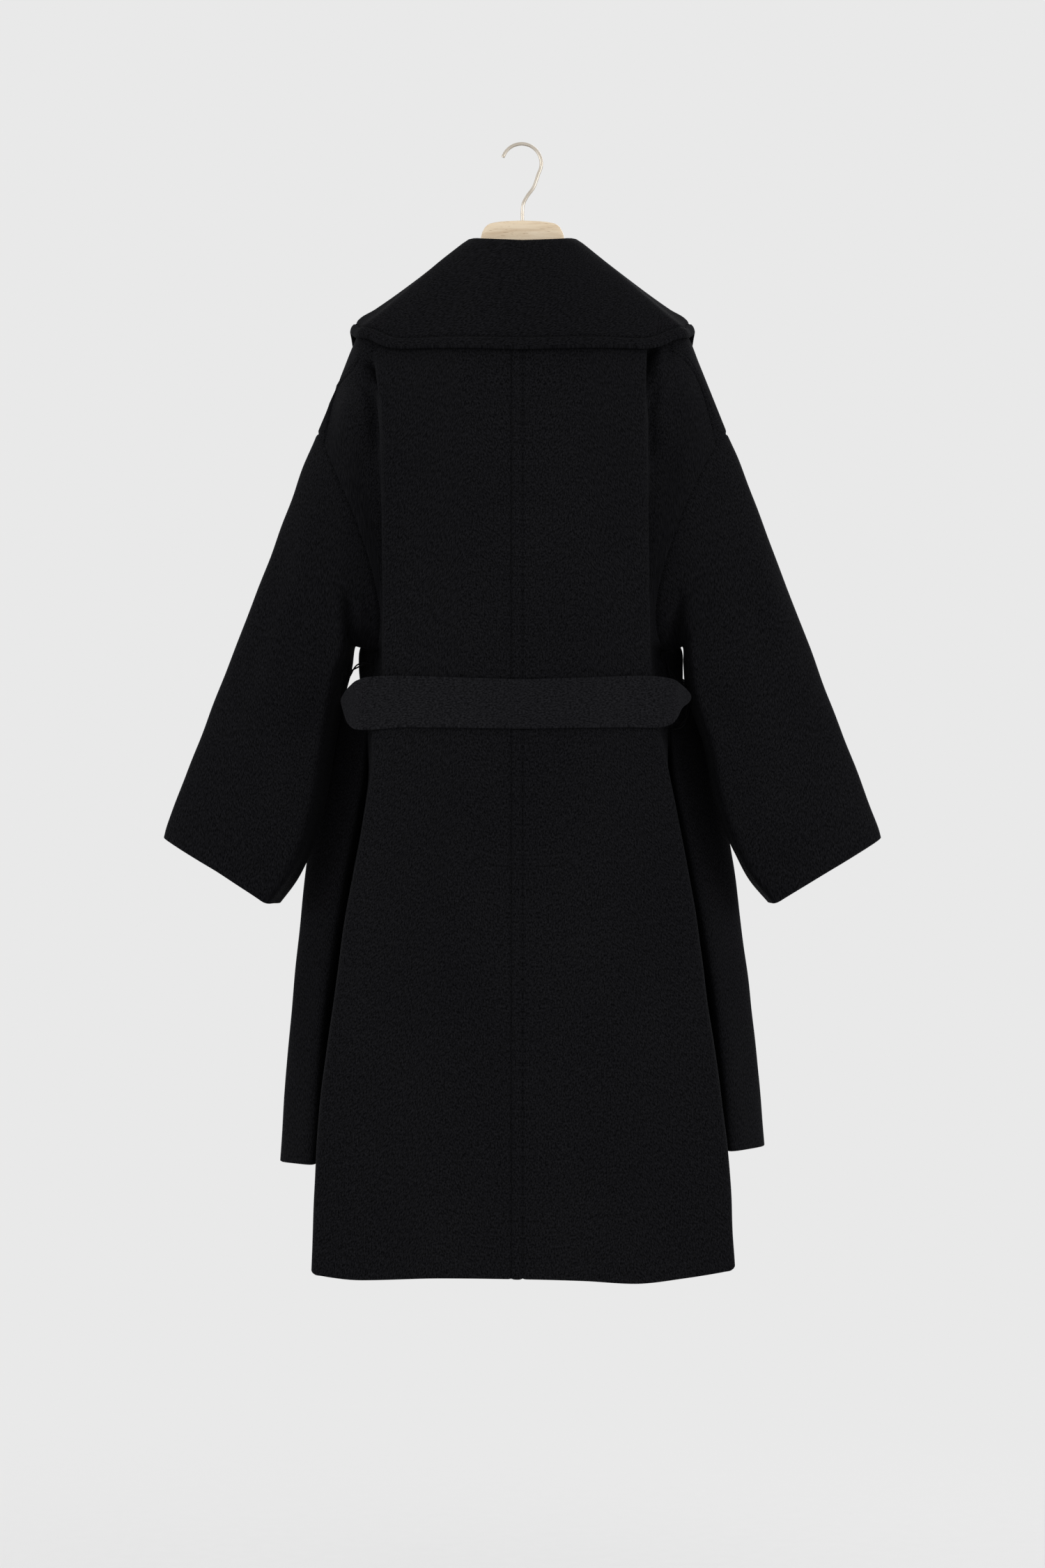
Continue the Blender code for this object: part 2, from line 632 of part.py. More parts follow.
def front_points(side, z, top_x, share):
    """Front points at a share of the way from the shoulder's top line to the underarm."""
    x, y = front_section(side, z)
    settle = np.clip(share / 0.75, 0, 1)
    settle = settle * settle * (3 - 2 * settle)
    free = FRONT_EDGE.at("x", z)
    high_x = top_x + (free - top_x[0]) * (1 - (top_x - top_x[0]) / (top_x[-1] - top_x[0]))
    edge_x, edge_y = side_edge(side, 1, z)
    x = high_x * (1 - settle) + x * settle
    x[-1] = edge_x[-1]
    rounding = np.maximum(round_over(RIDGE.at("z", x) - z), 0.02)
    y = (FRONT.at("flat", z) * (1 - settle) + y * settle) * rounding
    near_edge = np.clip((np.arange(FRONT_COLUMNS) - FRONT_FLAT) / (FRONT_COLUMNS - 1 - FRONT_FLAT), 0, 1)
    near_edge = near_edge**2 * (1 - settle)
    y = y * (1 - near_edge) + edge_y * near_edge
    y[-1] = edge_y[-1]
    y = y + overlap_lift(side, x) * np.clip(share, 0, 1)
    return np.stack([x, y, z], axis=-1)


def front_hem(side):
    hem = np.full(FRONT_COLUMNS, FRONT_HEM[side])
    first = FRONT_FLAT + len(FRONT_TURNS)
    share = np.clip((np.arange(FRONT_COLUMNS) - first + 1) / (FRONT_COLUMNS - first), 0, 1)
    return hem + (SEAM_HEM[side] - FRONT_HEM[side]) * share


def front_grid(side, back, back_normals):
    """Outer points and normals of one front. It starts at the shoulder seam on the back."""
    seam = back[0, NECK_COLUMN:]
    top_x = seam[:, 0].copy()
    top_x[-1] = armhole_point(side, 0)[0]
    ridge = RIDGE.at("z", top_x)
    ridge[-1] = ARMHOLE_TOP
    rows = [seam]
    for step in range(SEAM_RING_STEP - 1, -1, -1):
        share = (armhole_height(0) - armhole_height(step)) / (armhole_height(0) - armhole_height(SEAM_RING_STEP))
        x = seam[:, 0] + (top_x - seam[:, 0]) * (1 - share)
        z = ridge + (seam[:, 2] - ridge) * share
        rounding = round_over(ridge - z) / np.maximum(round_over(ridge - seam[:, 2]), 0.02)
        row = np.stack([x, seam[:, 1] * rounding, z], axis=-1)
        row[-1] = armhole_point(side, step)
        rows.append(row)
    hem = front_hem(side)
    for share in upper_shares(0)[1:]:
        z = ridge + (ARMHOLE_BOTTOM - ridge) * share
        rows.append(front_points(side, z, top_x, share))
    for share in LOWER_ROWS:
        z = ARMHOLE_BOTTOM + (hem - ARMHOLE_BOTTOM) * share
        rows.append(front_points(side, z, top_x, 1.0))
    grid = np.array(rows)
    normals = grid_normals(grid)
    if normals[len(normals) // 2, 0, 1] < 0:
        normals = -normals
    normals[0] = back_normals[0, NECK_COLUMN:]
    steps = np.arange(SEAM_RING_STEP, -RING_POINTS // 2 - 1, -1)
    normals[: len(steps), -1] = armhole_normal(steps)
    face_side(grid, normals, len(steps))
    return grid, unit(normals)


def build_front(side, material, parts):
    grid, normals = front_grid(side, *back_grid(side))
    open_grid = grid.copy()
    open_grid[0] = pulled(grid[0], grid[1], SEAM_GAP / 2)
    open_side(open_grid, side, np.arange(SEAM_RING_STEP, -RING_POINTS // 2 - 1, -1))
    outer = mirrored(open_grid, side)
    inner = mirrored(open_grid - normals * CLOTH, side)
    return wall(f"front_{side}", outer, inner, material, parts)


# The sleeves


def sleeve_grid(side):
    """Outer points and normals of a sleeve, ring by ring from the armhole to the cuff."""
    steps = np.arange(RING_POINTS)
    turn = 2 * math.pi * steps / RING_POINTS
    rings = [armhole_point(side, steps)]
    for share in SLEEVE.column("share"):
        outer = np.array([SLEEVE.at("outer_x", share), SLEEVE.at("outer_z", share)])
        inner = np.array([SLEEVE.at(f"inner_{side}", share), SLEEVE.at("inner_z", share)])
        middle = (outer + inner) / 2
        half = (outer - inner) / 2
        blunt = np.clip((share - SLEEVE_BLUNT_START) / (SLEEVE_BLUNT_FULL - SLEEVE_BLUNT_START), 0, 1)
        blunt = blunt * np.clip(-1.5 * np.cos(turn), 0, 1)
        out = np.sign(np.cos(turn)) * np.abs(np.cos(turn)) ** (1 - SLEEVE_BLUNT * blunt)
        y = -SLEEVE.at("half", share) * np.sign(np.sin(turn)) * np.abs(np.sin(turn)) ** (1 - SLEEVE_BLUNT * blunt)
        x = middle[0] + half[0] * out - SLEEVE_SLANT[side] * blunt * y
        z = middle[1] + half[1] * out
        bow = np.sin(turn) ** 2 * max(0.0, 1 - share / 0.35)
        seam = rings[0]
        straight = (seam[0, 0] + seam[RING_POINTS // 2, 0]) / 2
        x = x + (seam[RING_POINTS // 4, 0] - straight) * bow
        rings.append(np.stack([x, y, z], axis=-1))
    grid = np.array(rings)
    normals = grid_normals(grid, ring=True)
    if normals[len(rings) // 2, 0, 0] < 0:
        normals = -normals
    normals[0] = armhole_normal(steps)
    return grid, normals


def build_sleeve(side, material, parts):
    grid, normals = sleeve_grid(side)
    open_grid = grid.copy()
    open_grid[0] += armhole_across(side, np.arange(RING_POINTS)) * SEAM_GAP / 2
    outer = mirrored(open_grid, side)
    inner = mirrored(open_grid - normals * CLOTH, side)
    return wall(f"sleeve_{side}", outer, inner, material, parts, ring=True)


# The collar


def neck_line(side):
    """The neck seam along the top of the back and down the front edge, at the collar's stations."""
    back, back_normals = back_grid(side)
    front = front_grid(side, back, back_normals)[0]
    line = np.concatenate([back[0, : NECK_COLUMN + 1], front[1:, 0]])
    low = np.floor(COLLAR_STATIONS).astype(int)
    share = (np.array(COLLAR_STATIONS) - low)[:, None]
    return line[low] * (1 - share) + line[low + 1] * share


def collar_half(side):
    """The underside of half the collar: a row for each station, from the free edge over the roll
    to the neck seam."""
    stations = np.array(COLLAR_STATIONS)
    found = []
    for name in ("edge", "roll"):
        x = COLLAR.at(f"{name}_x", stations)
        z = COLLAR.at(f"{name}_z", stations)
        off = COLLAR.at(f"{name}_y", stations)
        face = np.where(off < 0, -1.0, 1.0)
        found.append(np.stack([x, face * body_depth(face, x, z) + off, z], axis=-1))
    edges, rolls = found
    seams = neck_line(side)
    along = np.gradient(edges + rolls, axis=0)
    along[0] = (1.0, 0.0, 0.0)
    facing = unit(np.cross(along, edges - rolls))
    if facing[0, 1] > 0:
        facing = -facing
    columns = []
    for share in FALL_SHARES:
        swell = COLLAR.at("arch", stations)[:, None] * 4 * share * (1 - share)
        fall = rolls + (edges - rolls) * share + facing * swell
        face = np.where(fall[:, 1] < 0, -1.0, 1.0)
        least = body_depth(face, fall[:, 0], fall[:, 2]) + LAY_GAP
        under = (RIDGE.at("z", fall[:, 0]) > fall[:, 2]) & (np.abs(fall[:, 1]) < least)
        fall[:, 1] = np.where(under, face * least, fall[:, 1])
        columns.append(fall)
    columns[0][:, 2] -= COLLAR.at("droop", stations)
    columns.append(rolls)
    for share in STAND_SHARES:
        columns.append(rolls + (seams - rolls) * share)
    return np.array(columns).transpose(1, 0, 2)


def build_collar(material, parts):
    """The collar and lapels in one piece: a fall that rolls over a stand sewn to the neck."""
    left = mirrored(collar_half("left"), "left")
    whole = np.concatenate([left[:0:-1], collar_half("right")])
    normals = grid_normals(whole)
    if normals[len(whole) // 2, 1, 1] > 0:
        normals = -normals
    roll = len(FALL_SHARES)
    fold = unit(whole[:, roll - 1] - whole[:, roll]) + unit(whole[:, roll + 1] - whole[:, roll])
    normals[:, roll] = -unit(fold)
    normals[:, roll - 1] = normals[:, roll - 2]
    normals[:, roll + 1] = normals[:, roll + 2]
    thickness = np.full(whole.shape[1], COLLAR_WALL)
    thickness[-len(STAND_SHARES) :] = np.linspace(COLLAR_WALL, COLLAR_SEAM_WALL, len(STAND_SHARES))
    whole[:, -1] = pulled(whole[:, -1], whole[:, -2], SEAM_GAP)
    return wall("collar", whole + normals * thickness[None, :, None], whole, material, parts)


# The belt


def belt_half(side, turns):
    """Middle line points, upper and lower edges of the belt on one side."""
    x = BELT.at(side, turns)
    y = BELT.at("y", turns)
    upper = np.stack([x, y, BELT.at(f"top_{side}", turns)], axis=-1)
    lower = np.stack([x, y, BELT.at(f"bottom_{side}", turns)], axis=-1)
    return mirrored(upper, side), mirrored(lower, side)


def build_belt(material, parts):
    turns = np.linspace(0, 1, BELT_STEPS)
    halves = {side: belt_half(side, turns) for side in SIDES}
    upper = np.concatenate([halves["right"][0], halves["left"][0][-2:0:-1]])
    lower = np.concatenate([halves["right"][1], halves["left"][1][-2:0:-1]])
    along = np.roll(upper, -1, axis=0) - np.roll(upper, 1, axis=0)
    out = unit(np.cross(along, np.array([0.0, 0.0, 1.0])))
    if out[0, 1] > 0:
        out = -out
    middle = np.stack([upper, (upper + lower) / 2, lower], axis=1)
    shift = out[:, None, :] * BELT_WALL / 2
    return wall("belt", middle + shift, middle - shift, material, parts, loop=True)


def belt_front():
    """The outer face of the belt at the centre front."""
    return BELT.column("y")[-1] + BELT_WALL / 2


def knot_middle():
    return (BELT.column("top_left")[-1] + BELT.column("bottom_left")[-1]) / 2


def build_knot(material, parts):
    """The knot: a rounded lump of folded belt, in front of the belt's middle."""
    bm = bmesh.new()
    bmesh.ops.create_cube(bm, size=2.0)
    bmesh.ops.subdivide_edges(bm, edges=bm.edges, cuts=3, use_grid_fill=True)
    for vertex in bm.verts:
        x, y, z = vertex.co
        corner = 1 - KNOT_CORNER * x * x * z * z
        bulge = 1 - 0.35 * (x * x + z * z) / 2
        vertex.co = (
            x * corner * KNOT_HALF_WIDTH,
            belt_front() + SEAM_GAP + (y + 1) / 2 * KNOT_DEPTH * bulge,
            knot_middle() + z * corner * KNOT_HALF_HEIGHT,
        )
    return mesh_object("belt_knot", bm, material, parts)


def build_tail(side, material, parts):
    """A free end of the belt. It hangs from the knot and comes to lie on the fronts."""
    row = list(TAILS.column("side")).index(SIDES[side])
    start, lean, bottom = (TAILS.column(name)[row] for name in ("start", "lean", "bottom"))
    top = knot_middle() - KNOT_HALF_HEIGHT - SEAM_GAP
    outer = []
    inner = []
    for share in np.linspace(0, 1, TAIL_ROWS):
        z = top + (bottom - top) * share
        half = TAIL_WIDTH.at("half", share)
        across = np.linspace(-1, 1, TAIL_COLUMNS)
        x = SIDES[side] * (start + lean * share + max(0.0, half - start)) + across * half
        hang = (belt_front() + TAIL_OFF_BELT) * (1 - share / 0.4)
        rest = FRONT.at("flat", z) + OVERLAP_LIFT + TAIL_SEAT
        y = max(rest, hang + rest * share / 0.4)
        slant = SIDES[side] * 0.012 * share * across
        inner.append(np.stack([x, np.full(TAIL_COLUMNS, y), z + slant], axis=-1))
        outer.append(inner[-1] + np.array([0.0, BELT_WALL, 0.0]))
    return wall(f"belt_end_{side}", np.array(outer), np.array(inner), material, parts)


def tube(name, points, radius, sides, material, parts):
    """A round wire along the points."""
    curve = bpy.data.curves.new(name, "CURVE")
    curve.dimensions = "3D"
    curve.bevel_depth = radius
    curve.bevel_resolution = sides
    curve.use_fill_caps = True
    curve.materials.append(material)
    spline = curve.splines.new("POLY")
    spline.points.add(len(points) - 1)
    for target, point in zip(spline.points, points):
        target.co = (*point, 1.0)
    made = bpy.data.objects.new(name, curve)
    parts.objects.link(made)
    return made


def smooth_path(points, steps):
    """Points along a smooth curve through the points given."""
    points = np.array(points, float)
    place = np.concatenate([[0], np.cumsum(np.linalg.norm(np.diff(points, axis=0), axis=1))])
    slopes = np.gradient(points, place, axis=0)
    along = np.linspace(0, place[-1], steps)
    i = np.clip(np.searchsorted(place, along) - 1, 0, len(points) - 2)
    step = (place[i + 1] - place[i])[:, None]
    t = (along - place[i])[:, None] / step
    start = (2 * t**3 - 3 * t**2 + 1) * points[i] + (t**3 - 2 * t**2 + t) * step * slopes[i]
    end = (3 * t**2 - 2 * t**3) * points[i + 1] + (t**3 - t**2) * step * slopes[i + 1]
    return start + end


def build_belt_loop(side, material, parts):
    """A loop of thread from the side seam, over the belt and back to the seam."""
    turn = LOOP_TURN
    belt_x = float(BELT.at(side, turn)) + BELT_WALL / 2
    high_z = float(BELT.at(f"top_{side}", turn))
    low_z = float(BELT.at(f"bottom_{side}", turn))
    y = float(BELT.at("y", turn))

    def seam(z):
        return float(SIDE_SEAM.at(side, z)) + THREAD_ATTACH, float(SIDE_SEAM.at("y", z)), z

    path = [
        seam(LOOP_TOP),
        (belt_x - 0.015, y, LOOP_TOP - 0.004),
        (belt_x + LOOP_CLEAR, y, high_z + 0.001),
        (belt_x + LOOP_CLEAR, y, (high_z + low_z) / 2),
        (belt_x + LOOP_CLEAR, y, low_z + 0.002),
        (belt_x - 0.006, y, LOOP_BOTTOM + 0.006),
        seam(LOOP_BOTTOM),
    ]
    return tube(f"belt_loop_{side}", mirrored(smooth_path(path, 22), side), THREAD_RADIUS, 1, material, parts)


# The hanger


def build_hanger(material, parts):
    """The hanger: rounded upright sections from one tip to the other."""
    half_x = HANGER.column("x")
    places = np.concatenate([-half_x[:0:-1], half_x])
    turn = 2 * math.pi * np.arange(HANGER_RING) / HANGER_RING + math.pi / 2
    bm = bmesh.new()
    rings = []
    for place in places:
        x = abs(place)
        top = HANGER.at("top", x)
        if HANGER_ARM_START < x < HANGER_ARM_END:
            top = RIDGE.at("z", x) - (CLOTH + HANGER_SEAT) * HANGER_ARM_SLOPE
        bottom = HANGER.at("bottom", x)
        y = HANGER.at("half", x) * np.sign(np.cos(turn)) * np.abs(np.cos(turn)) ** 0.85
        z = (top + bottom) / 2 + (top - bottom) / 2 * np.sign(np.sin(turn)) * np.abs(np.sin(turn)) ** 0.85
        rings.append([bm.verts.new((place, a, b)) for a, b in zip(y, z)])
    for near, far in zip(rings, rings[1:]):
        for k in range(HANGER_RING):
            k2 = (k + 1) % HANGER_RING
            bm.faces.new([near[k], near[k2], far[k2], far[k]])
    bm.faces.new(rings[0])
    bm.faces.new(rings[-1])
    return mesh_object("hanger", bm, material, parts)


def build_hook(material, parts):
    """The wire hook: a stem, a sway to one side and a bend over the rail."""
    centre_z = -HOOK_RADIUS + WIRE_RADIUS
    bend = np.linspace(HOOK_START_TURN, HOOK_END_TURN, 12)
    arc = [(HOOK_CENTRE_X + HOOK_RADIUS * math.cos(a), 0.0, centre_z + HOOK_RADIUS * math.sin(a)) for a in bend]
    stem = [
        (0.0, 0.0, HANGER_CREST + SEAM_GAP),
        (0.0, 0.0, HOOK_STEM_TOP - 0.005),
        (0.0008, 0.0, HOOK_STEM_TOP + 0.003),
        (0.0050, 0.0, HOOK_STEM_TOP + 0.0115),
        (0.0122, 0.0, HOOK_STEM_TOP + 0.0215),
    ]
    path = smooth_path(stem + arc, 44)
    return tube("hanger_hook", path, WIRE_RADIUS, 2, material, parts)


def main():
    for old in list(bpy.data.objects):
        bpy.data.objects.remove(old)
    parts = bpy.data.collections.new("belted_coat")
    bpy.context.scene.collection.children.link(parts)
    wool = material_of(WOOL)
    wood = material_of(WOOD)
    steel = material_of(STEEL)
    for side in SIDES:
        build_back(side, wool, parts)
        build_front(side, wool, parts)
        build_sleeve(side, wool, parts)
        build_tail(side, wool, parts)
        build_belt_loop(side, wool, parts)
    build_collar(wool, parts)
    build_belt(wool, parts)
    build_knot(wool, parts)
    build_hanger(wood, parts)
    build_hook(steel, parts)


main()
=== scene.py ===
"""A belted wool coat on a wooden hanger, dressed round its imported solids.

Metres, +Z up. The coat hangs with its back towards -Y, where the camera stands. "Left" is the
wearer's left, at -X. The panels are worked out on their own side, where x grows away from the centre
line, and the left ones are then mirrored. Each panel starts from the same sizes as its solid, is read
at many more places, and gets its creases, seams, edges and stitching.
"""

import math

import bpy
import numpy as np
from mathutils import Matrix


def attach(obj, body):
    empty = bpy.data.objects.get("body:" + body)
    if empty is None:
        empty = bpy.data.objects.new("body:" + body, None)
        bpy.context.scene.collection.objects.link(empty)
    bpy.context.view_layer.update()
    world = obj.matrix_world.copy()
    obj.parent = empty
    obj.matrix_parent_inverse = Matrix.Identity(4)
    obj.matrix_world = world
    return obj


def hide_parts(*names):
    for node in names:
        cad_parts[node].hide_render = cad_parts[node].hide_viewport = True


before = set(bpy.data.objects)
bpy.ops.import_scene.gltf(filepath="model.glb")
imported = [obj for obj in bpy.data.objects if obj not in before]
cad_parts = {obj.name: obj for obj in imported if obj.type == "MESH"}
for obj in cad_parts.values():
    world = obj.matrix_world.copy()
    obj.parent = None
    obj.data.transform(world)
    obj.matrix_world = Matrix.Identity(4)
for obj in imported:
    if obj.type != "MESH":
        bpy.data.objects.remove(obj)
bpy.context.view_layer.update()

# Walls and clearances
CLOTH = 0.0025
COLLAR_WALL = 0.0045
COLLAR_SEAM_WALL = 0.0030
BELT_WALL = 0.0040
SEAM_LAP = 0.0008
LAY_GAP = 0.0020

# Shoulders and neck
NECK_HALF = 0.070
SHOULDER_ROUND = 0.020
SHOULDER_FALL = 0.160
ROUND_SHARE = 0.25

# Armholes
ARMHOLE_TOP = -0.3288
ARMHOLE_BOTTOM = -0.5760
ARMHOLE_MIDDLE = (ARMHOLE_TOP + ARMHOLE_BOTTOM) / 2
ARMHOLE_HALF = (ARMHOLE_TOP - ARMHOLE_BOTTOM) / 2
ARMHOLE_DEPTH = 0.0500
RING_POINTS = 24
SEAM_RING_STEP = 2
# How far the cloth looks out, at the armhole's top and bottom and at its back and front, and how far
# up at its top
ARMHOLE_OUT_TOP = 0.90
ARMHOLE_OUT_SIDE = 0.30
ARMHOLE_UP = 0.38
# Half the stretch of the seam, in steps of its ring, over which its direction is read
ARMHOLE_NEAR = 0.1

# Hems
BACK_HEM = -1.2800
SEAM_HEM = {"left": -1.1630, "right": -1.1470}
FRONT_HEM = {"left": -1.1620, "right": -1.1440}

# Front overlap: the right front lies over the left one
OVERLAP_LIFT = 0.0045
OVERLAP_FULL = 0.060
OVERLAP_FADE = 0.110
# The drop below the shoulder's top line at which the overlap is full
OVERLAP_DROP = 0.30

SIDES = {"left": -1.0, "right": 1.0}


def between(t, step, low, high, low_slope, high_slope):
    """The cubic from one value to the next that leaves and arrives with these slopes."""
    start = (2 * t**3 - 3 * t**2 + 1) * low + (t**3 - 2 * t**2 + t) * step * low_slope
    end = (3 * t**2 - 2 * t**3) * high + (t**3 - t**2) * step * high_slope
    return start + end


def hermite(xs, ys, at):
    """A smooth curve through the points (xs, ys) that never overshoots them, read at some places."""
    order = np.argsort(xs)
    xs = xs[order]
    ys = ys[order]
    step = np.diff(xs)
    rise = np.diff(ys) / step
    slope = np.zeros_like(ys)
    slope[0] = rise[0]
    slope[-1] = rise[-1]
    product = rise[:-1] * rise[1:]
    total = rise[:-1] + rise[1:]
    keeps_sign = product > 0
    slope[1:-1][keeps_sign] = 2 * product[keeps_sign] / total[keeps_sign]
    at = np.clip(np.asarray(at, float), xs[0], xs[-1])
    i = np.clip(np.searchsorted(xs, at) - 1, 0, len(step) - 1)
    t = (at - xs[i]) / step[i]
    return between(t, step[i], ys[i], ys[i + 1], slope[i], slope[i + 1])


class Table:
    """Rows of sizes under named columns, read smoothly by the first column."""

    def __init__(self, names, *rows):
        self.names = names.split()
        self.columns = dict(zip(self.names, np.array(rows, float).T))

    def at(self, name, where):
        return hermite(self.columns[self.names[0]], self.columns[name], where)

    def column(self, name):
        return self.columns[name]

    def rows(self):
        return np.array(list(self.columns.values())).T


# The shoulder's top line, from the neck over the hanger's tip to the armhole
RIDGE = Table(
    "x z",
    (0.000, -0.1245),
    (0.070, -0.1255),
    (0.085, -0.1375),
    (0.100, -0.1490),
    (0.135, -0.1728),
    (0.165, -0.1935),
    (0.183, -0.2080),
    (0.1945, -0.2320),
    (0.2082, -0.2667),
    (0.2241, -0.3049),
    (0.2360, -0.3288),
)

# How far the shoulder seam lies below that line, on the back
SEAM_DROP = Table(
    "x drop",
    (0.070, 0.012),
    (0.110, 0.030),
    (0.150, 0.044),
    (0.170, 0.044),
    (0.190, 0.036),
    (0.205, 0.024),
    (0.230, 0.030),
)

BACK_NECK = Table("x z", (0.000, -0.1520), (0.035, -0.1495), (0.070, -0.1375))

# The back by height: where its side folds lie, how far out its flat middle is, how deep the folds are
BACK = Table(
    "z fold_left fold_right flat depth",
    (-0.160, 0.1760, 0.1440, -0.072, 0.004),
    (-0.250, 0.1730, 0.1430, -0.092, 0.010),
    (-0.300, 0.1630, 0.1400, -0.095, 0.026),
    (-0.350, 0.1580, 0.1395, -0.095, 0.037),
    (-0.480, 0.1570, 0.1415, -0.092, 0.042),
    (-0.610, 0.1570, 0.1445, -0.088, 0.042),
    (-0.655, 0.1590, 0.1465, -0.088, 0.042),
    (-0.672, 0.1680, 0.1545, -0.088, 0.043),
    (-0.695, 0.1675, 0.1595, -0.089, 0.045),
    (-0.725, 0.1710, 0.1662, -0.091, 0.047),
    (-0.780, 0.1800, 0.1772, -0.093, 0.050),
    (-0.835, 0.1909, 0.1865, -0.095, 0.052),
    (-0.889, 0.1995, 0.1963, -0.096, 0.052),
    (-0.959, 0.2092, 0.2055, -0.098, 0.054),
    (-1.020, 0.2185, 0.2150, -0.099, 0.054),
    (-1.096, 0.2275, 0.2243, -0.101, 0.054),
    (-1.155, 0.2312, 0.2312, -0.102, 0.054),
    (-1.285, 0.2360, 0.2370, -0.105, 0.052),
)

# The rolled edge of a back fold: places along x when it is opened flat and when it is folded under,
# and the share of the fold's depth that each has reached
FOLD_START = 0.012
FOLD_FULL_DEPTH = 0.042
FOLD = Table(
    "spread folded share",
    (-0.0050, -0.0040, 0.035),
    (0.0020, -0.0005, 0.130),
    (0.0090, 0.0000, 0.330),
    (0.0160, -0.0008, 0.570),
    (0.0230, -0.0010, 0.780),
    (0.0300, -0.0006, 0.930),
    (0.0370, 0.0000, 1.000),
)
OUTER_COLUMNS = 3
# Above the belt the cloth behind a fold stays close to it for longer. This fades out over the heights
# given, below and above.
FOLD_LAG = 1.6
FOLD_LAG_LOW = (-0.680, -0.640)
FOLD_LAG_HIGH = (-0.280, -0.360)

ARMHOLE = Table(
    "z left right",
    (-0.3288, 0.2344, 0.2336),
    (-0.3580, 0.2209, 0.2130),
    (-0.3950, 0.2044, 0.1940),
    (-0.4260, 0.1910, 0.1800),
    (-0.4540, 0.1807, 0.1695),
    (-0.4890, 0.1705, 0.1590),
    (-0.5205, 0.1642, 0.1530),
    (-0.5440, 0.1615, 0.1515),
    (-0.5760, 0.1668, 0.1600),
)

SIDE_SEAM = Table(
    "z left right y",
    (-0.576, 0.1668, 0.1600, 0.000),
    (-0.615, 0.1730, 0.1640, 0.006),
    (-0.670, 0.1790, 0.1680, 0.010),
    (-0.695, 0.1760, 0.1660, 0.018),
    (-0.740, 0.1800, 0.1715, 0.030),
    (-0.850, 0.1985, 0.1915, 0.040),
    (-1.020, 0.2225, 0.2170, 0.040),
    (-1.190, 0.2345, 0.2335, 0.036),
)
# Below this height the side seam is turned in
SEAM_TURNS_IN = -0.680

# The fronts by height: how far each side swells past the seam, how far forward, the flat front, and
# how far back a ridge stands beside the seam on each side
FRONT = Table(
    "z out_left out_right side flat ridge_left ridge_right",
    (-0.160, -0.010, -0.010, 0.022, 0.052, 0.000, 0.000),
    (-0.329, -0.010, -0.010, 0.030, 0.072, 0.000, 0.000),
    (-0.395, -0.008, -0.008, 0.056, 0.080, 0.000, 0.000),
    (-0.454, -0.006, -0.006, 0.062, 0.084, 0.000, 0.000),
    (-0.520, 0.000, 0.000, 0.058, 0.085, 0.000, 0.000),
    (-0.576, 0.021, 0.024, 0.034, 0.084, 0.000, 0.000),
    (-0.615, 0.014, 0.020, 0.034, 0.081, 0.000, 0.000),
    (-0.6285, 0.011, 0.015, 0.034, 0.080, 0.000, 0.000),
    (-0.6365, 0.026, 0.038, 0.038, 0.081, 0.000, 0.000),
    (-0.650, 0.041, 0.043, 0.042, 0.081, 0.000, 0.000),
    (-0.664, 0.047, 0.047, 0.044, 0.082, 0.000, 0.004),
    (-0.690, 0.056, 0.055, 0.048, 0.084, 0.008, 0.015),
    (-0.740, 0.059, 0.059, 0.048, 0.089, 0.023, 0.031),
    (-0.820, 0.056, 0.057, 0.044, 0.094, 0.034, 0.041),
    (-0.900, 0.051, 0.053, 0.036, 0.098, 0.035, 0.050),
    (-1.020, 0.046, 0.051, 0.032, 0.101, 0.038, 0.053),
    (-1.170, 0.046, 0.049, 0.030, 0.102, 0.040, 0.053),
)
STRIP_SHARES = (0.60, 0.17, 0.00)
RIDGE_SHARES = (0.63, 1.00, 0.00)
FRONT_CORNER = 0.040
# The share of the way to the underarm at which a front has its full form, and the least share of its
# depth that is used near the shoulder's top line
FRONT_SETTLED = 0.75
LEAST_ROUND = 0.02

# The front edge: a neckline that closes where the fronts cross, then the overlap down to the hem
FRONT_EDGE = Table(
    "z x",
    (-0.121, 0.0700),
    (-0.150, 0.0705),
    (-0.200, 0.0660),
    (-0.260, 0.0570),
    (-0.330, 0.0420),
    (-0.400, 0.0260),
    (-0.460, 0.0110),
    (-0.520, -0.0060),
    (-0.600, -0.0300),
    (-0.670, -0.0420),
    (-0.800, -0.0500),
    (-1.170, -0.0550),
)

# Shares of the way from the underarm to the hem at which the body has a row of points
LOWER_ROWS = (0.035, 0.070, 0.091, 0.107, 0.135, 0.180, 0.240, 0.310, 0.420, 0.560, 0.710, 0.860, 1.000)

# The sleeve from armhole to cuff: its outer and inner edges and half its depth
SLEEVE = Table(
    "share outer_x outer_z inner_left inner_right inner_z half",
    (0.06, 0.2480, -0.3600, 0.1755, 0.1690, -0.5745, 0.0490),
    (0.14, 0.2640, -0.4040, 0.1855, 0.1795, -0.5725, 0.0470),
    (0.23, 0.2830, -0.4550, 0.1930, 0.1845, -0.5725, 0.0450),
    (0.34, 0.3055, -0.5140, 0.2015, 0.1870, -0.5950, 0.0430),
    (0.46, 0.3300, -0.5780, 0.2095, 0.1908, -0.6290, 0.0410),
    (0.58, 0.3545, -0.6420, 0.2200, 0.2095, -0.6860, 0.0390),
    (0.71, 0.3790, -0.7060, 0.2305, 0.2220, -0.7480, 0.0370),
    (0.85, 0.3980, -0.7560, 0.2480, 0.2445, -0.8080, 0.0360),
    (0.94, 0.4070, -0.7800, 0.2660, 0.2645, -0.8430, 0.0350),
    (1.00, 0.4095, -0.7900, 0.2830, 0.2830, -0.8650, 0.0350),
)
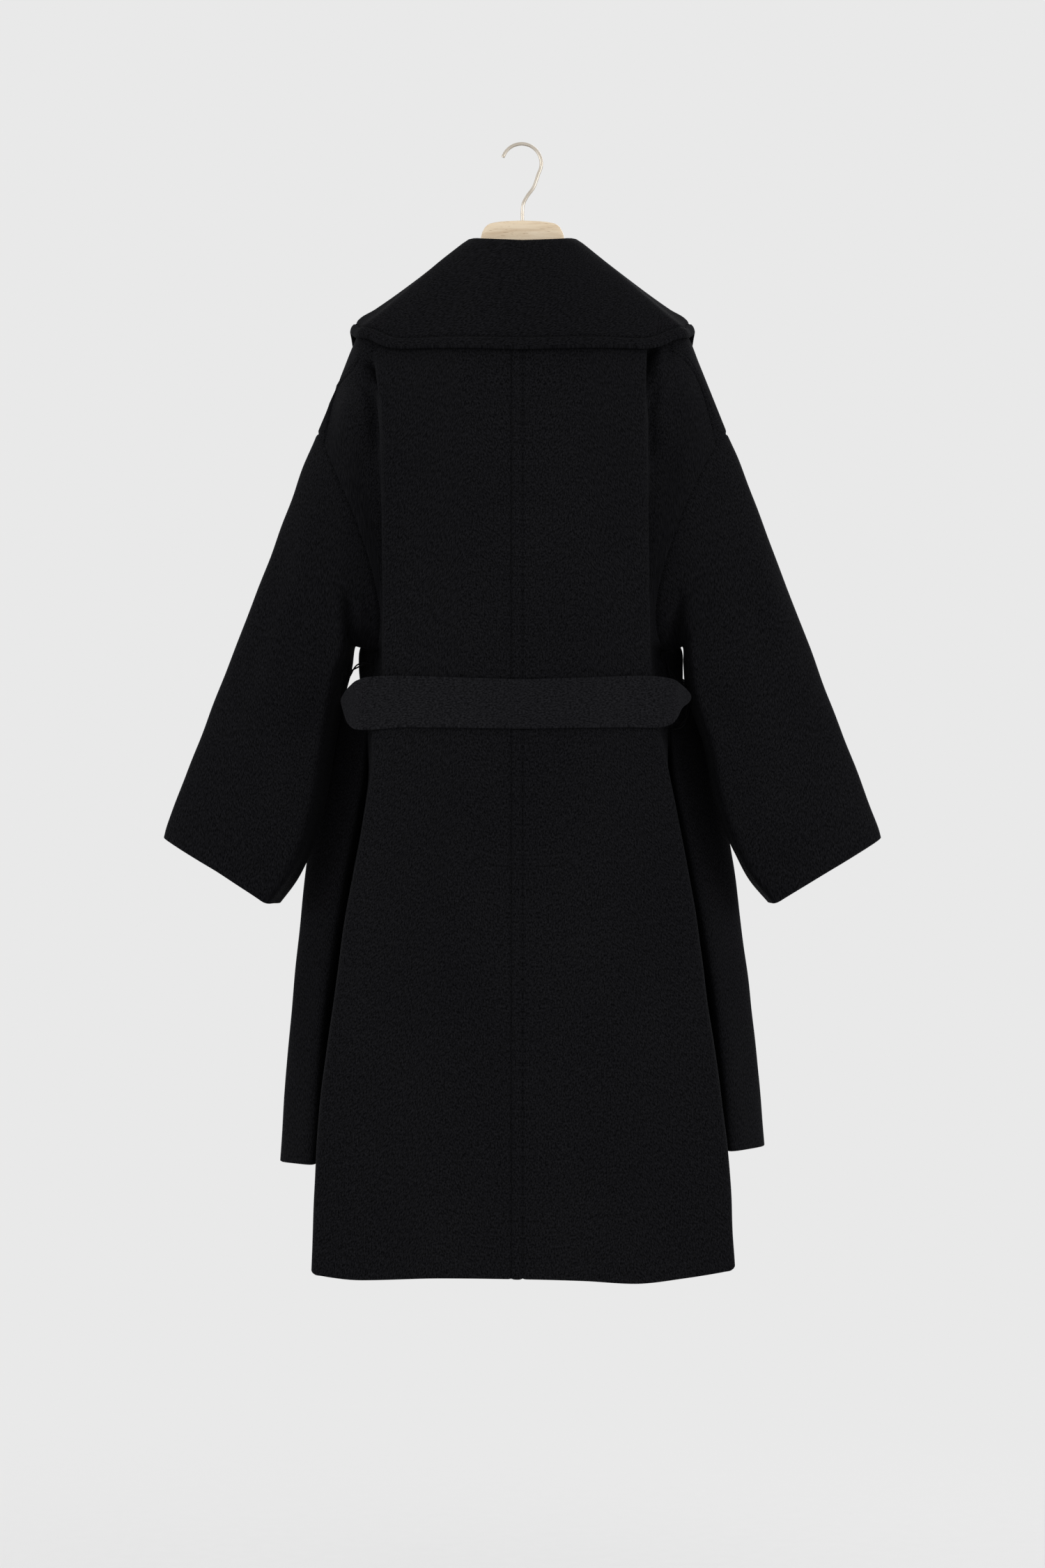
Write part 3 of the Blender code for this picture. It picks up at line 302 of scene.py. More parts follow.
# Towards the body a sleeve ends in a blunt side that slants forward
SLEEVE_BLUNT = 0.78
SLEEVE_SLANT = {"left": 0.19, "right": 0.06}
SLEEVE_BLUNT_START = 0.10
SLEEVE_BLUNT_FULL = 0.34
SLEEVE_BLUNT_TURN = 1.5
SLEEVE_BOW_END = 0.35

# The collar, station by station along the neck: 0 at the centre back, 2 where the shoulder seam
# meets the neck, 4 on the shoulder's top line, 11 at the tip of the lapel. The roll is its fold and
# the edge its free edge. "y" is how far its underside stands off the body there, towards the back
# where it is negative, "arch" is how far it swells between roll and edge, and "droop" how far its
# edge hangs down.
COLLAR = Table(
    "station roll_x roll_z roll_y edge_x edge_z edge_y arch droop",
    (0.0, 0.0000, -0.1195, -0.0480, 0.0000, -0.2415, -0.0040, 0.005, 0.000),
    (1.0, 0.0290, -0.1185, -0.0465, 0.0720, -0.2398, -0.0040, 0.005, 0.000),
    (1.5, 0.0480, -0.1165, -0.0400, 0.1430, -0.2385, -0.0040, 0.005, 0.000),
    (2.0, 0.0560, -0.1140, -0.0290, 0.1690, -0.2265, -0.0070, 0.003, 0.001),
    (3.0, 0.0600, -0.1125, -0.0150, 0.1885, -0.2185, -0.0115, 0.000, 0.002),
    (4.0, 0.0610, -0.1125, 0.0020, 0.1935, -0.2085, 0.0040, -0.002, 0.006),
    (5.0, 0.0615, -0.1190, 0.0220, 0.1920, -0.2280, 0.0240, 0.003, 0.003),
    (6.0, 0.0610, -0.1450, 0.0150, 0.1870, -0.2660, 0.0150, 0.006, 0.000),
    (7.0, 0.0580, -0.1820, 0.0090, 0.1770, -0.3080, 0.0090, 0.007, 0.000),
    (8.0, 0.0520, -0.2290, 0.0060, 0.1620, -0.3500, 0.0060, 0.007, 0.000),
    (9.0, 0.0430, -0.2860, 0.0050, 0.1380, -0.3970, 0.0040, 0.007, 0.000),
    (10.0, 0.0300, -0.3470, 0.0050, 0.1040, -0.4430, 0.0040, 0.006, 0.000),
    (11.0, 0.0155, -0.4090, 0.0050, 0.0620, -0.4710, 0.0040, 0.004, 0.000),
)
COLLAR_STATIONS = (0, 0.5, 1, 1.25, 1.5, 1.75, 2, 2.5, 3, 3.5, 4, 4.5, 5, 5.5, 6, 6.5, 7, 8, 9, 10, 11)
FALL_SHARES = (1.0, 0.95, 0.80, 0.60, 0.40, 0.22, 0.09)
STAND_SHARES = (0.30, 0.65, 1.0)

# The belt from the centre back round to the centre front: its middle line and its two edges on each
# side. At the sides it is pinched together.
BELT = Table(
    "turn left right y top_left bottom_left top_right bottom_right",
    (0.00, 0.0000, 0.0000, -0.0910, -0.6140, -0.6655, -0.6140, -0.6655),
    (0.14, 0.0700, 0.0700, -0.0912, -0.6120, -0.6645, -0.6120, -0.6645),
    (0.27, 0.1400, 0.1320, -0.0912, -0.6100, -0.6640, -0.6100, -0.6640),
    (0.35, 0.1720, 0.1590, -0.0900, -0.6110, -0.6672, -0.6115, -0.6650),
    (0.41, 0.1920, 0.1770, -0.0640, -0.6190, -0.6635, -0.6185, -0.6440),
    (0.48, 0.2030, 0.1875, -0.0300, -0.6305, -0.6405, -0.6255, -0.6355),
    (0.56, 0.2000, 0.1860, 0.0150, -0.6270, -0.6370, -0.6190, -0.6300),
    (0.64, 0.1970, 0.1870, 0.0550, -0.6150, -0.6310, -0.6100, -0.6270),
    (0.72, 0.1725, 0.1685, 0.0825, -0.6080, -0.6320, -0.6060, -0.6310),
    (0.84, 0.1000, 0.1000, 0.0880, -0.6090, -0.6500, -0.6090, -0.6500),
    (1.00, 0.0000, 0.0000, 0.0888, -0.6130, -0.6650, -0.6130, -0.6650),
)
BELT_STEPS = 20

# The knot and the two ends of the belt, in front. An end leaves the knot gathered, then widens.
KNOT_HALF_WIDTH = 0.027
KNOT_HALF_HEIGHT = 0.031
KNOT_DEPTH = 0.026
TAIL_SEAT = 0.0006
TAIL_OFF_BELT = 0.006
TAIL_ROWS = 11
TAIL_COLUMNS = 4
TAIL_WIDTH = Table("share half", (0.00, 0.0120), (0.10, 0.0190), (0.25, 0.0255), (1.00, 0.0265))
TAILS = Table("side start lean bottom", (-1.0, 0.0130, 0.060, -1.020), (1.0, 0.0130, 0.045, -0.975))

# The thread loops that carry the belt at the side seams
THREAD_ATTACH = 0.0016
LOOP_TOP = -0.5900
LOOP_SAG = {"left": 0.004, "right": 0.018}
LOOP_BOTTOM = -0.6680
LOOP_CLEAR = {"left": 0.0024, "right": 0.0010}
LOOP_TURN = 0.54

# The hanger by half its width: its top and bottom lines, and half its thickness. Under the shoulders
# its top keeps a seat's gap below the cloth.
HANGER_SEAT = 0.0009
HANGER_ARM_START = 0.092
HANGER_ARM_END = 0.172
HANGER_ARM_SLOPE = 1.24
HANGER_CREST = -0.0856
HANGER = Table(
    "x top bottom half",
    (0.0000, -0.0856, -0.1500, 0.0070),
    (0.0200, -0.0864, -0.1500, 0.0070),
    (0.0350, -0.0885, -0.1510, 0.0070),
    (0.0410, -0.0912, -0.1520, 0.0070),
    (0.0445, -0.0960, -0.1530, 0.0070),
    (0.0474, -0.1027, -0.1540, 0.0070),
    (0.0500, -0.1150, -0.1550, 0.0070),
    (0.0540, -0.1290, -0.1565, 0.0070),
    (0.0650, -0.1370, -0.1600, 0.0070),
    (0.0800, -0.1410, -0.1660, 0.0068),
    (0.0920, -0.1480, -0.1720, 0.0066),
    (0.1200, -0.1650, -0.1900, 0.0064),
    (0.1500, -0.1850, -0.2110, 0.0062),
    (0.1680, -0.1970, -0.2240, 0.0060),
    (0.1750, -0.2075, -0.2270, 0.0055),
    (0.1780, -0.2130, -0.2240, 0.0042),
)
WIRE_RADIUS = 0.0020
HOOK_RADIUS = 0.0225
HOOK_CENTRE_X = -0.0010
HOOK_STEM_TOP = -0.0700
HOOK_END_TURN = math.radians(162)
HOOK_START_TURN = math.radians(-30)


def smooth_step(value, low, high):
    share = np.clip((value - low) / (high - low), 0, 1)
    return share * share * (3 - 2 * share)


def unit(vectors):
    length = np.linalg.norm(vectors, axis=-1, keepdims=True)
    return vectors / np.maximum(length, 1e-9)


def around(count):
    """Even turns round a circle."""
    return 2 * math.pi * np.arange(count) / count


def turned(vectors, sample):
    """The vectors, all turned round if the sample given is negative."""
    return -vectors if sample < 0 else vectors


def squared(value, power):
    """A sine or cosine, squared off by a power below one, with its sign kept."""
    return np.sign(value) * np.abs(value) ** power


def grid_normals(grid, ring=False):
    """Unit normals of a grid of points, from its neighbours."""
    down = np.gradient(grid, axis=0)
    if ring:
        across = np.roll(grid, -1, axis=1) - np.roll(grid, 1, axis=1)
    else:
        across = np.gradient(grid, axis=1)
    return unit(np.cross(across, down))


def pulled(points, towards, distance):
    """Points moved towards their neighbours, or away from them by a negative distance."""
    return points + unit(towards - points) * distance


def mirrored(points, side):
    return points * np.array([SIDES[side], 1.0, 1.0])


# The body's surface


def round_over(drop):
    """How much of its full depth the body has at this drop below the shoulder's top line."""
    drop = np.maximum(drop, 0.0)
    near = np.clip(drop / SHOULDER_ROUND, 0, 1)
    far = np.clip(drop / SHOULDER_FALL, 0, 1)
    return ROUND_SHARE * np.sqrt(1 - (1 - near) ** 2) + (1 - ROUND_SHARE) * far * (2 - far)


def body_depth(face, x, z):
    """How far the flat of the back (face -1) or of the front (face 1) stands from the middle plane."""
    back = -BACK.at("flat", z)
    front = FRONT.at("flat", z)
    flat = np.where(np.asarray(face) < 0, back, front)
    drop = RIDGE.at("z", np.abs(x)) - z
    lift = overlap_lift("right", np.asarray(x, float)) * np.clip(drop / OVERLAP_DROP, 0, 1)
    return flat * round_over(drop) + np.where(np.asarray(face) < 0, 0.0, lift)


def armhole_height(step):
    return ARMHOLE_MIDDLE + ARMHOLE_HALF * np.cos(2 * math.pi * np.asarray(step) / RING_POINTS)


def armhole_point(side, step):
    """A point of the armhole seam: step 0 is its top, a quarter of the ring is on the back."""
    z = armhole_height(step)
    y = -ARMHOLE_DEPTH * np.sin(2 * math.pi * np.asarray(step) / RING_POINTS)
    return np.stack([ARMHOLE.at(side, z), y, z], axis=-1)


def armhole_normal(step):
    """The outward direction of the cloth at the armhole seam, the same for body and sleeve."""
    turn = 2 * math.pi * np.asarray(step, float) / RING_POINTS
    out = ARMHOLE_OUT_TOP * np.abs(np.cos(turn)) + ARMHOLE_OUT_SIDE * np.abs(np.sin(turn))
    return unit(np.stack([out, -np.sin(turn), ARMHOLE_UP * np.cos(turn)], axis=-1))


def armhole_across(side, step):
    """The direction across the armhole seam, from the body towards the sleeve."""
    step = np.asarray(step, float)
    along = armhole_point(side, step + ARMHOLE_NEAR) - armhole_point(side, step - ARMHOLE_NEAR)
    across = unit(np.cross(armhole_normal(step), along))
    return across * np.where(across[..., :1] < 0, -1.0, 1.0)


def side_edge(side, face, z):
    """The outer edge of a body panel at heights z: the armhole seam, and the side seam below it."""
    top = armhole_height(SEAM_RING_STEP if face < 0 else 0)
    high = np.clip(z, ARMHOLE_BOTTOM, top)
    rise = (high - ARMHOLE_MIDDLE) / ARMHOLE_HALF
    y_armhole = face * ARMHOLE_DEPTH * np.sqrt(np.clip(1 - rise**2, 0, 1))
    above = z >= ARMHOLE_BOTTOM
    x = np.where(above, ARMHOLE.at(side, high), SIDE_SEAM.at(side, z))
    y = np.where(above, y_armhole, SIDE_SEAM.at("y", z))
    return x, y


def face_side(grid, normals, first):
    """Turns the normals straight out along the side seam, from that row to where it is turned in."""
    high = np.arange(len(grid)) >= first
    high &= grid[:, -1, 2] > SEAM_TURNS_IN
    normals[high, -1] = (1.0, 0.0, 0.0)


def back_flat_shares(side):
    """Columns across the flat of the back: two for the neck, then even steps to the fold."""
    top_flat = BACK.column(f"fold_{side}")[0] - FOLD_START
    neck = NECK_HALF / top_flat
    return np.array([0, neck / 2, neck, neck + (1 - neck) / 3, neck + 2 * (1 - neck) / 3, 1])


# The top of the back is found in a few rounds, from a first guess
BACK_TOP_GUESS = -0.20
BACK_TOP_ROUNDS = 8
NECK_COLUMN = 2
FLAT_COLUMNS = 6
BACK_COLUMNS = FLAT_COLUMNS + len(FOLD.column("share")) + OUTER_COLUMNS


def back_points(side, z):
    """The back's outer surface, one point for each of its columns, at that column's height in z."""
    fold = BACK.at(f"fold_{side}", z)
    flat = BACK.at("flat", z)
    depth = BACK.at("depth", z)
    closed = np.clip(depth / FOLD_FULL_DEPTH, 0, 1)
    edge_x, edge_y = side_edge(side, -1, z)
    low = np.minimum(z, armhole_height(SEAM_RING_STEP))
    edge_y = edge_y / round_over(RIDGE.at("z", edge_x) - low)
    x = np.zeros(BACK_COLUMNS)
    y = np.zeros(BACK_COLUMNS)
    x[:FLAT_COLUMNS] = back_flat_shares(side) * (fold - FOLD_START)[:FLAT_COLUMNS]
    y[:FLAT_COLUMNS] = flat[:FLAT_COLUMNS]
    rolled = slice(FLAT_COLUMNS, BACK_COLUMNS - OUTER_COLUMNS)
    spread = FOLD.column("spread") * (1 - closed[rolled]) + FOLD.column("folded") * closed[rolled]
    x[rolled] = fold[rolled] + spread
    y[rolled] = flat[rolled] + depth[rolled] * FOLD.column("share")
    last = FOLD.column("spread")[-1] * (1 - closed) + FOLD.column("folded")[-1] * closed
    deep = FOLD_LAG * smooth_step(z, *FOLD_LAG_LOW) * smooth_step(z, *FOLD_LAG_HIGH)
    for c in range(BACK_COLUMNS - OUTER_COLUMNS, BACK_COLUMNS):
        share = (c - (BACK_COLUMNS - OUTER_COLUMNS) + 1) / OUTER_COLUMNS
        late = share ** (1 + deep[c])
        x[c] = (fold[c] + last[c]) * (1 - late) + edge_x[c] * late
        y[c] = (flat[c] + depth[c]) * (1 - share) + edge_y[c] * share
    y = y * round_over(RIDGE.at("z", x) - z)
    return np.stack([x, y, z], axis=-1)


def back_top(side):
    """The height of each back column's top end: the neck, then the shoulder seam."""
    z = np.full(BACK_COLUMNS, BACK_TOP_GUESS)
    for _ in range(BACK_TOP_ROUNDS):
        x = back_points(side, z)[:, 0]
        seam = RIDGE.at("z", x) - SEAM_DROP.at("drop", x)
        z = np.where(x < NECK_HALF, BACK_NECK.at("z", x), seam)
    z[-1] = armhole_height(SEAM_RING_STEP)
    return z


def back_hem(side):
    """The height of the hem at each back column. It rises on the side that is folded in."""
    hem = np.full(BACK_COLUMNS, BACK_HEM)
    share = np.clip((np.arange(BACK_COLUMNS) - FLAT_COLUMNS) / (BACK_COLUMNS - 1 - FLAT_COLUMNS), 0, 1)
    return hem + (SEAM_HEM[side] - BACK_HEM) * share**2


def upper_shares(first):
    """Rows from a panel's top to the underarm, spaced as the armhole seam's points are."""
    steps = np.arange(first, RING_POINTS // 2 + 1)
    z = armhole_height(steps)
    return (z[0] - z) / (z[0] - z[-1])


def back_grid(side):
    """Outer points and outward normals of one half of the back."""
    top = back_top(side)
    hem = back_hem(side)
    heights = [top + (ARMHOLE_BOTTOM - top) * share for share in upper_shares(SEAM_RING_STEP)]
    heights += [ARMHOLE_BOTTOM + (hem - ARMHOLE_BOTTOM) * share for share in LOWER_ROWS]
    grid = np.array([back_points(side, z) for z in heights])
    normals = grid_normals(grid)
    normals = turned(normals, -normals[len(normals) // 2, 0, 1])
    normals[:, 0, 0] = 0.0
    steps = np.arange(SEAM_RING_STEP, RING_POINTS // 2 + 1)
    normals[: len(steps), -1] = armhole_normal(steps)
    face_side(grid, normals, len(steps))
    return grid, unit(normals)


def lap_side(grid, side, steps):
    """Laps a body panel over its seams: with the sleeve, at those steps, and with its neighbour."""
    last = len(steps) - 1
    grid[last:, -1] = pulled(grid[last:, -1], grid[last:, -2], -SEAM_LAP / 2)
    grid[: last + 1, -1] += armhole_across(side, steps) * SEAM_LAP / 2


# The fronts

FRONT_COLUMNS = BACK_COLUMNS - NECK_COLUMN
FRONT_FLAT = 7
FRONT_TURNS = np.radians((25, 50, 75, 90))


def overlap_lift(side, x):
    """The right front stands off the left one where they overlap."""
    if side == "left":
        return np.zeros_like(x)
    return OVERLAP_LIFT * smooth_step(x, OVERLAP_FADE, OVERLAP_FULL)


def front_section(side, z):
    """The front's outer surface below the shoulder, one point for each column at its height in z."""
    edge_x, edge_y = side_edge(side, 1, z)
    swell_x = edge_x + FRONT.at(f"out_{side}", z)
    swell_y = FRONT.at("side", z)
    flat = FRONT.at("flat", z)
    ridge = FRONT.at(f"ridge_{side}", z)
    free = FRONT_EDGE.at("x", z)
    corner = swell_x - FRONT_CORNER
    x = np.zeros(FRONT_COLUMNS)
    y = np.zeros(FRONT_COLUMNS)
    shares = np.linspace(0, 1, FRONT_FLAT)
    x[:FRONT_FLAT] = free[:FRONT_FLAT] * (1 - shares) + corner[:FRONT_FLAT] * shares
    y[:FRONT_FLAT] = flat[:FRONT_FLAT]
    turn = slice(FRONT_FLAT, FRONT_FLAT + len(FRONT_TURNS))
    x[turn] = corner[turn] + FRONT_CORNER * np.sin(FRONT_TURNS)
    y[turn] = swell_y[turn] + (flat[turn] - swell_y[turn]) * np.cos(FRONT_TURNS)
    first = FRONT_FLAT + len(FRONT_TURNS)
    for c in range(first, FRONT_COLUMNS):
        share = STRIP_SHARES[c - first]
        x[c] = edge_x[c] + (swell_x[c] - edge_x[c]) * share
        y[c] = edge_y[c] + (swell_y[c] - edge_y[c]) * share - ridge[c] * RIDGE_SHARES[c - first]
    return x, y


def front_points(side, z, top_x, share):
    """Front points at a share of the way from the shoulder's top line to the underarm."""
    x, y = front_section(side, z)
    settle = smooth_step(share, 0, FRONT_SETTLED)
    free = FRONT_EDGE.at("x", z)
    high_x = top_x + (free - top_x[0]) * (1 - (top_x - top_x[0]) / (top_x[-1] - top_x[0]))
    edge_x, edge_y = side_edge(side, 1, z)
    x = high_x * (1 - settle) + x * settle
    x[-1] = edge_x[-1]
    rounding = np.maximum(round_over(RIDGE.at("z", x) - z), LEAST_ROUND)
    y = (FRONT.at("flat", z) * (1 - settle) + y * settle) * rounding
    near_edge = np.clip((np.arange(FRONT_COLUMNS) - FRONT_FLAT) / (FRONT_COLUMNS - 1 - FRONT_FLAT), 0, 1)
    near_edge = near_edge**2 * (1 - settle)
    y = y * (1 - near_edge) + edge_y * near_edge
    y[-1] = edge_y[-1]
    y = y + overlap_lift(side, x) * np.clip(share, 0, 1)
    return np.stack([x, y, z], axis=-1)


def front_hem(side):
    hem = np.full(FRONT_COLUMNS, FRONT_HEM[side])
    first = FRONT_FLAT + len(FRONT_TURNS)
    share = np.clip((np.arange(FRONT_COLUMNS) - first + 1) / (FRONT_COLUMNS - first), 0, 1)
    return hem + (SEAM_HEM[side] - FRONT_HEM[side]) * share


def front_grid(side, back, back_normals):
    """Outer points and normals of one front. It starts at the shoulder seam on the back."""
    seam = back[0, NECK_COLUMN:]
    top_x = seam[:, 0].copy()
    top_x[-1] = armhole_point(side, 0)[0]
    ridge = RIDGE.at("z", top_x)
    ridge[-1] = ARMHOLE_TOP
    rows = [seam]
    top = armhole_height(0)
    for step in range(SEAM_RING_STEP - 1, -1, -1):
        share = (top - armhole_height(step)) / (top - armhole_height(SEAM_RING_STEP))
        x = seam[:, 0] + (top_x - seam[:, 0]) * (1 - share)
        z = ridge + (seam[:, 2] - ridge) * share
        rounding = round_over(ridge - z) / np.maximum(round_over(ridge - seam[:, 2]), LEAST_ROUND)
        row = np.stack([x, seam[:, 1] * rounding, z], axis=-1)
        row[-1] = armhole_point(side, step)
        rows.append(row)
    hem = front_hem(side)
    for share in upper_shares(0)[1:]:
        z = ridge + (ARMHOLE_BOTTOM - ridge) * share
        rows.append(front_points(side, z, top_x, share))
    for share in LOWER_ROWS:
        z = ARMHOLE_BOTTOM + (hem - ARMHOLE_BOTTOM) * share
        rows.append(front_points(side, z, top_x, 1.0))
    grid = np.array(rows)
    normals = grid_normals(grid)
    normals = turned(normals, normals[len(normals) // 2, 0, 1])
    normals[0] = back_normals[0, NECK_COLUMN:]
    steps = np.arange(SEAM_RING_STEP, -RING_POINTS // 2 - 1, -1)
    normals[: len(steps), -1] = armhole_normal(steps)
    face_side(grid, normals, len(steps))
    return grid, unit(normals)


# The sleeves


def sleeve_grid(side):
    """Outer points and normals of a sleeve, ring by ring from the armhole to the cuff."""
    steps = np.arange(RING_POINTS)
    turn = around(RING_POINTS)
    rings = [armhole_point(side, steps)]
    for share in SLEEVE.column("share"):
        outer = np.array([SLEEVE.at("outer_x", share), SLEEVE.at("outer_z", share)])
        inner = np.array([SLEEVE.at(f"inner_{side}", share), SLEEVE.at("inner_z", share)])
        middle = (outer + inner) / 2
        half = (outer - inner) / 2
        blunt = np.clip((share - SLEEVE_BLUNT_START) / (SLEEVE_BLUNT_FULL - SLEEVE_BLUNT_START), 0, 1)
        blunt = blunt * np.clip(-SLEEVE_BLUNT_TURN * np.cos(turn), 0, 1)
        power = 1 - SLEEVE_BLUNT * blunt
        out = squared(np.cos(turn), power)
        y = -SLEEVE.at("half", share) * squared(np.sin(turn), power)
        x = middle[0] + half[0] * out - SLEEVE_SLANT[side] * blunt * y
        z = middle[1] + half[1] * out
        bow = np.sin(turn) ** 2 * max(0.0, 1 - share / SLEEVE_BOW_END)
        seam = rings[0]
        straight = (seam[0, 0] + seam[RING_POINTS // 2, 0]) / 2
        x = x + (seam[RING_POINTS // 4, 0] - straight) * bow
        rings.append(np.stack([x, y, z], axis=-1))
    grid = np.array(rings)
    normals = grid_normals(grid, ring=True)
    normals = turned(normals, normals[len(rings) // 2, 0, 0])
    normals[0] = armhole_normal(steps)
    return grid, normals


# The collar


def neck_line(side):
    """The neck seam along the top of the back and down the front edge, at the collar's stations."""
    back, back_normals = back_grid(side)
    front = front_grid(side, back, back_normals)[0]
    line = np.concatenate([back[0, : NECK_COLUMN + 1], front[1:, 0]])
    low = np.floor(COLLAR_STATIONS).astype(int)
    share = (np.array(COLLAR_STATIONS) - low)[:, None]
    return line[low] * (1 - share) + line[low + 1] * share


def collar_half(side):
    """The underside of half the collar: a row for each station, from the free edge over the roll
    to the neck seam."""
    stations = np.array(COLLAR_STATIONS)
    found = []
    for name in ("edge", "roll"):
        x = COLLAR.at(f"{name}_x", stations)
        z = COLLAR.at(f"{name}_z", stations)
        off = COLLAR.at(f"{name}_y", stations)
        face = np.where(off < 0, -1.0, 1.0)
        found.append(np.stack([x, face * body_depth(face, x, z) + off, z], axis=-1))
    edges, rolls = found
    seams = neck_line(side)
    along = np.gradient(edges + rolls, axis=0)
    along[0] = (1.0, 0.0, 0.0)
    facing = unit(np.cross(along, edges - rolls))
    facing = turned(facing, -facing[0, 1])
    columns = []
    for share in FALL_SHARES:
        swell = COLLAR.at("arch", stations)[:, None] * 4 * share * (1 - share)
        fall = rolls + (edges - rolls) * share + facing * swell
        face = np.where(fall[:, 1] < 0, -1.0, 1.0)
        least = body_depth(face, fall[:, 0], fall[:, 2]) + LAY_GAP
        under = (RIDGE.at("z", fall[:, 0]) > fall[:, 2]) & (np.abs(fall[:, 1]) < least)
        fall[:, 1] = np.where(under, face * least, fall[:, 1])
        columns.append(fall)
    columns[0][:, 2] -= COLLAR.at("droop", stations)
    columns.append(rolls)
    for share in STAND_SHARES:
        columns.append(rolls + (seams - rolls) * share)
    return np.array(columns).transpose(1, 0, 2)


# The belt


def belt_half(side, turns):
    """The upper and the lower edge of the belt's middle layer on one side."""
    x = BELT.at(side, turns)
    y = BELT.at("y", turns)
    upper = np.stack([x, y, BELT.at(f"top_{side}", turns)], axis=-1)
    lower = np.stack([x, y, BELT.at(f"bottom_{side}", turns)], axis=-1)
    return mirrored(upper, side), mirrored(lower, side)


def belt_front():
    """The outer face of the belt at the centre front."""
    return BELT.column("y")[-1] + BELT_WALL / 2


def knot_middle():
    return (BELT.column("top_left")[-1] + BELT.column("bottom_left")[-1]) / 2


# Reading a form finely

CLOTH_STEP = 0.0046
LEAST_STEP = 0.0002
EDGE_STEPS = np.array((0.0006, 0.0014, 0.0024, 0.0037, 0.0054))


def spline(knots, values, places):
    """Values that are known at the knots, read smoothly at other places along the first axis."""
    slopes = np.gradient(values, knots, axis=0)
    i = np.clip(np.searchsorted(knots, places, side="right") - 1, 0, len(knots) - 2)
    shape = (-1,) + (1,) * (values.ndim - 1)
    step = (knots[i + 1] - knots[i]).reshape(shape)
    t = (places - knots[i]).reshape(shape) / step
    return between(t, step, values[i], values[i + 1], slopes[i], slopes[i + 1])


def lengths(points):
    """How far along a line each of its points lies."""
    return np.concatenate([[0], np.cumsum(np.linalg.norm(np.diff(points, axis=0), axis=1))])


def smooth_path(points, steps):
    """Points along a smooth curve through the points given."""
    points = np.array(points, float)
    along = lengths(points)
    return spline(along, points, np.linspace(0, along[-1], steps))


def mean_reach(grid, axis):
    """How far each line of a grid lies from the first one, along the cloth."""
    steps = np.linalg.norm(np.diff(grid, axis=axis), axis=-1).mean(axis=1 - axis)
    return np.concatenate([[0], np.cumsum(steps)])


def spaced(length, step, extra=()):
    """Places along a length: even steps, closer ones at both ends, and those asked for."""
    middle = np.linspace(0, length, int(length / step) + 2)[1:-1]
    inside = (middle > EDGE_STEPS[-1] + step / 2) & (middle < length - EDGE_STEPS[-1] - step / 2)
    for place in extra:
        inside &= np.abs(middle - place) > step / 3
    ends = [[0], EDGE_STEPS, middle[inside], extra, length - EDGE_STEPS, [length]]
    places = np.unique(np.concatenate(ends))
    return places[np.concatenate([[True], np.diff(places) > LEAST_STEP])]


def read_closed(values, steps, step):
    """A closed line of values read at even places. The first axis closes on itself."""
    total = steps.sum()
    padded = np.concatenate([values[-3:], values, values[:4]])
    before = -np.cumsum(steps[::-1][:3])[::-1]
    after = np.concatenate([[0], np.cumsum(steps)])
    knots = np.concatenate([before, after[:-1], total + after[:4]])
    places = np.linspace(0, total, int(total / step) + 1)[:-1]
    return spline(knots, padded, places)


def read_finely(layers, step, ring=False, loop=False, extra_rows=(), extra_columns=()):
    """Grids of points or directions that belong together, read at many more places."""
    grid = layers[0]
    made = []
    axis = 1 if ring else 0
    closed_steps = np.linalg.norm(np.roll(grid, -1, axis=axis) - grid, axis=-1).mean(axis=1 - axis)
    down = mean_reach(grid, 0)
    across = mean_reach(grid, 1)
    for layer in layers:
        if loop:
            layer = read_closed(layer, closed_steps, step)
        else:
            layer = spline(down, layer, spaced(down[-1], step, extra_rows))
        layer = layer.transpose(1, 0, 2)
        if ring:
            layer = read_closed(layer, closed_steps, step)
        else:
            layer = spline(across, layer, spaced(across[-1], step, extra_columns))
        made.append(layer.transpose(1, 0, 2))
    return made


def reach(grid, axis):
    """How far each point of a grid lies from its first line, along the cloth."""
    steps = np.linalg.norm(np.diff(grid, axis=axis), axis=-1)
    start = np.zeros_like(np.take(steps, [0], axis))
    return np.concatenate([start, np.cumsum(steps, axis=axis)], axis=axis)


def from_end(reached, axis):
    return np.take(reached, [-1], axis) - reached


# Creases: soft troughs and ridges, each from one place to another as seen from the back or the
# front. "bend" is how far its middle bows to one side, "depth" is negative for a trough, and "start"
# is how strong it already is where it begins.

CREASE = "x0 z0 x1 z1 bend width depth start"
BACK_CREASES = Table(
    CREASE,
    (-0.100, -0.690, -0.150, -1.250, 0.010, 0.030, -0.0050, 0.6),
    (-0.045, -0.700, -0.060, -1.180, -0.006, 0.034, 0.0030, 0.5),
    (0.030, -0.690, 0.050, -1.270, 0.008, 0.036, -0.0035, 0.5),
    (0.095, -0.700, 0.130, -1.200, -0.010, 0.028, 0.0040, 0.5),
    (0.138, -0.720, 0.178, -1.270, -0.008, 0.026, -0.0045, 0.4),
    (-0.160, -0.740, -0.193, -1.230, 0.006, 0.020, 0.0035, 0.3),
    (-0.130, -0.568, -0.030, -0.588, -0.006, 0.012, -0.0018, 0.2),
    (0.020, -0.583, 0.120, -0.564, 0.006, 0.013, -0.0020, 0.2),
    (-0.060, -0.290, -0.075, -0.560, 0.008, 0.030, -0.0022, 0.3),
    (0.085, -0.280, 0.068, -0.550, -0.008, 0.032, -0.0024, 0.3),
    (-0.118, -0.310, -0.126, -0.580, 0.004, 0.018, 0.0018, 0.3),
)
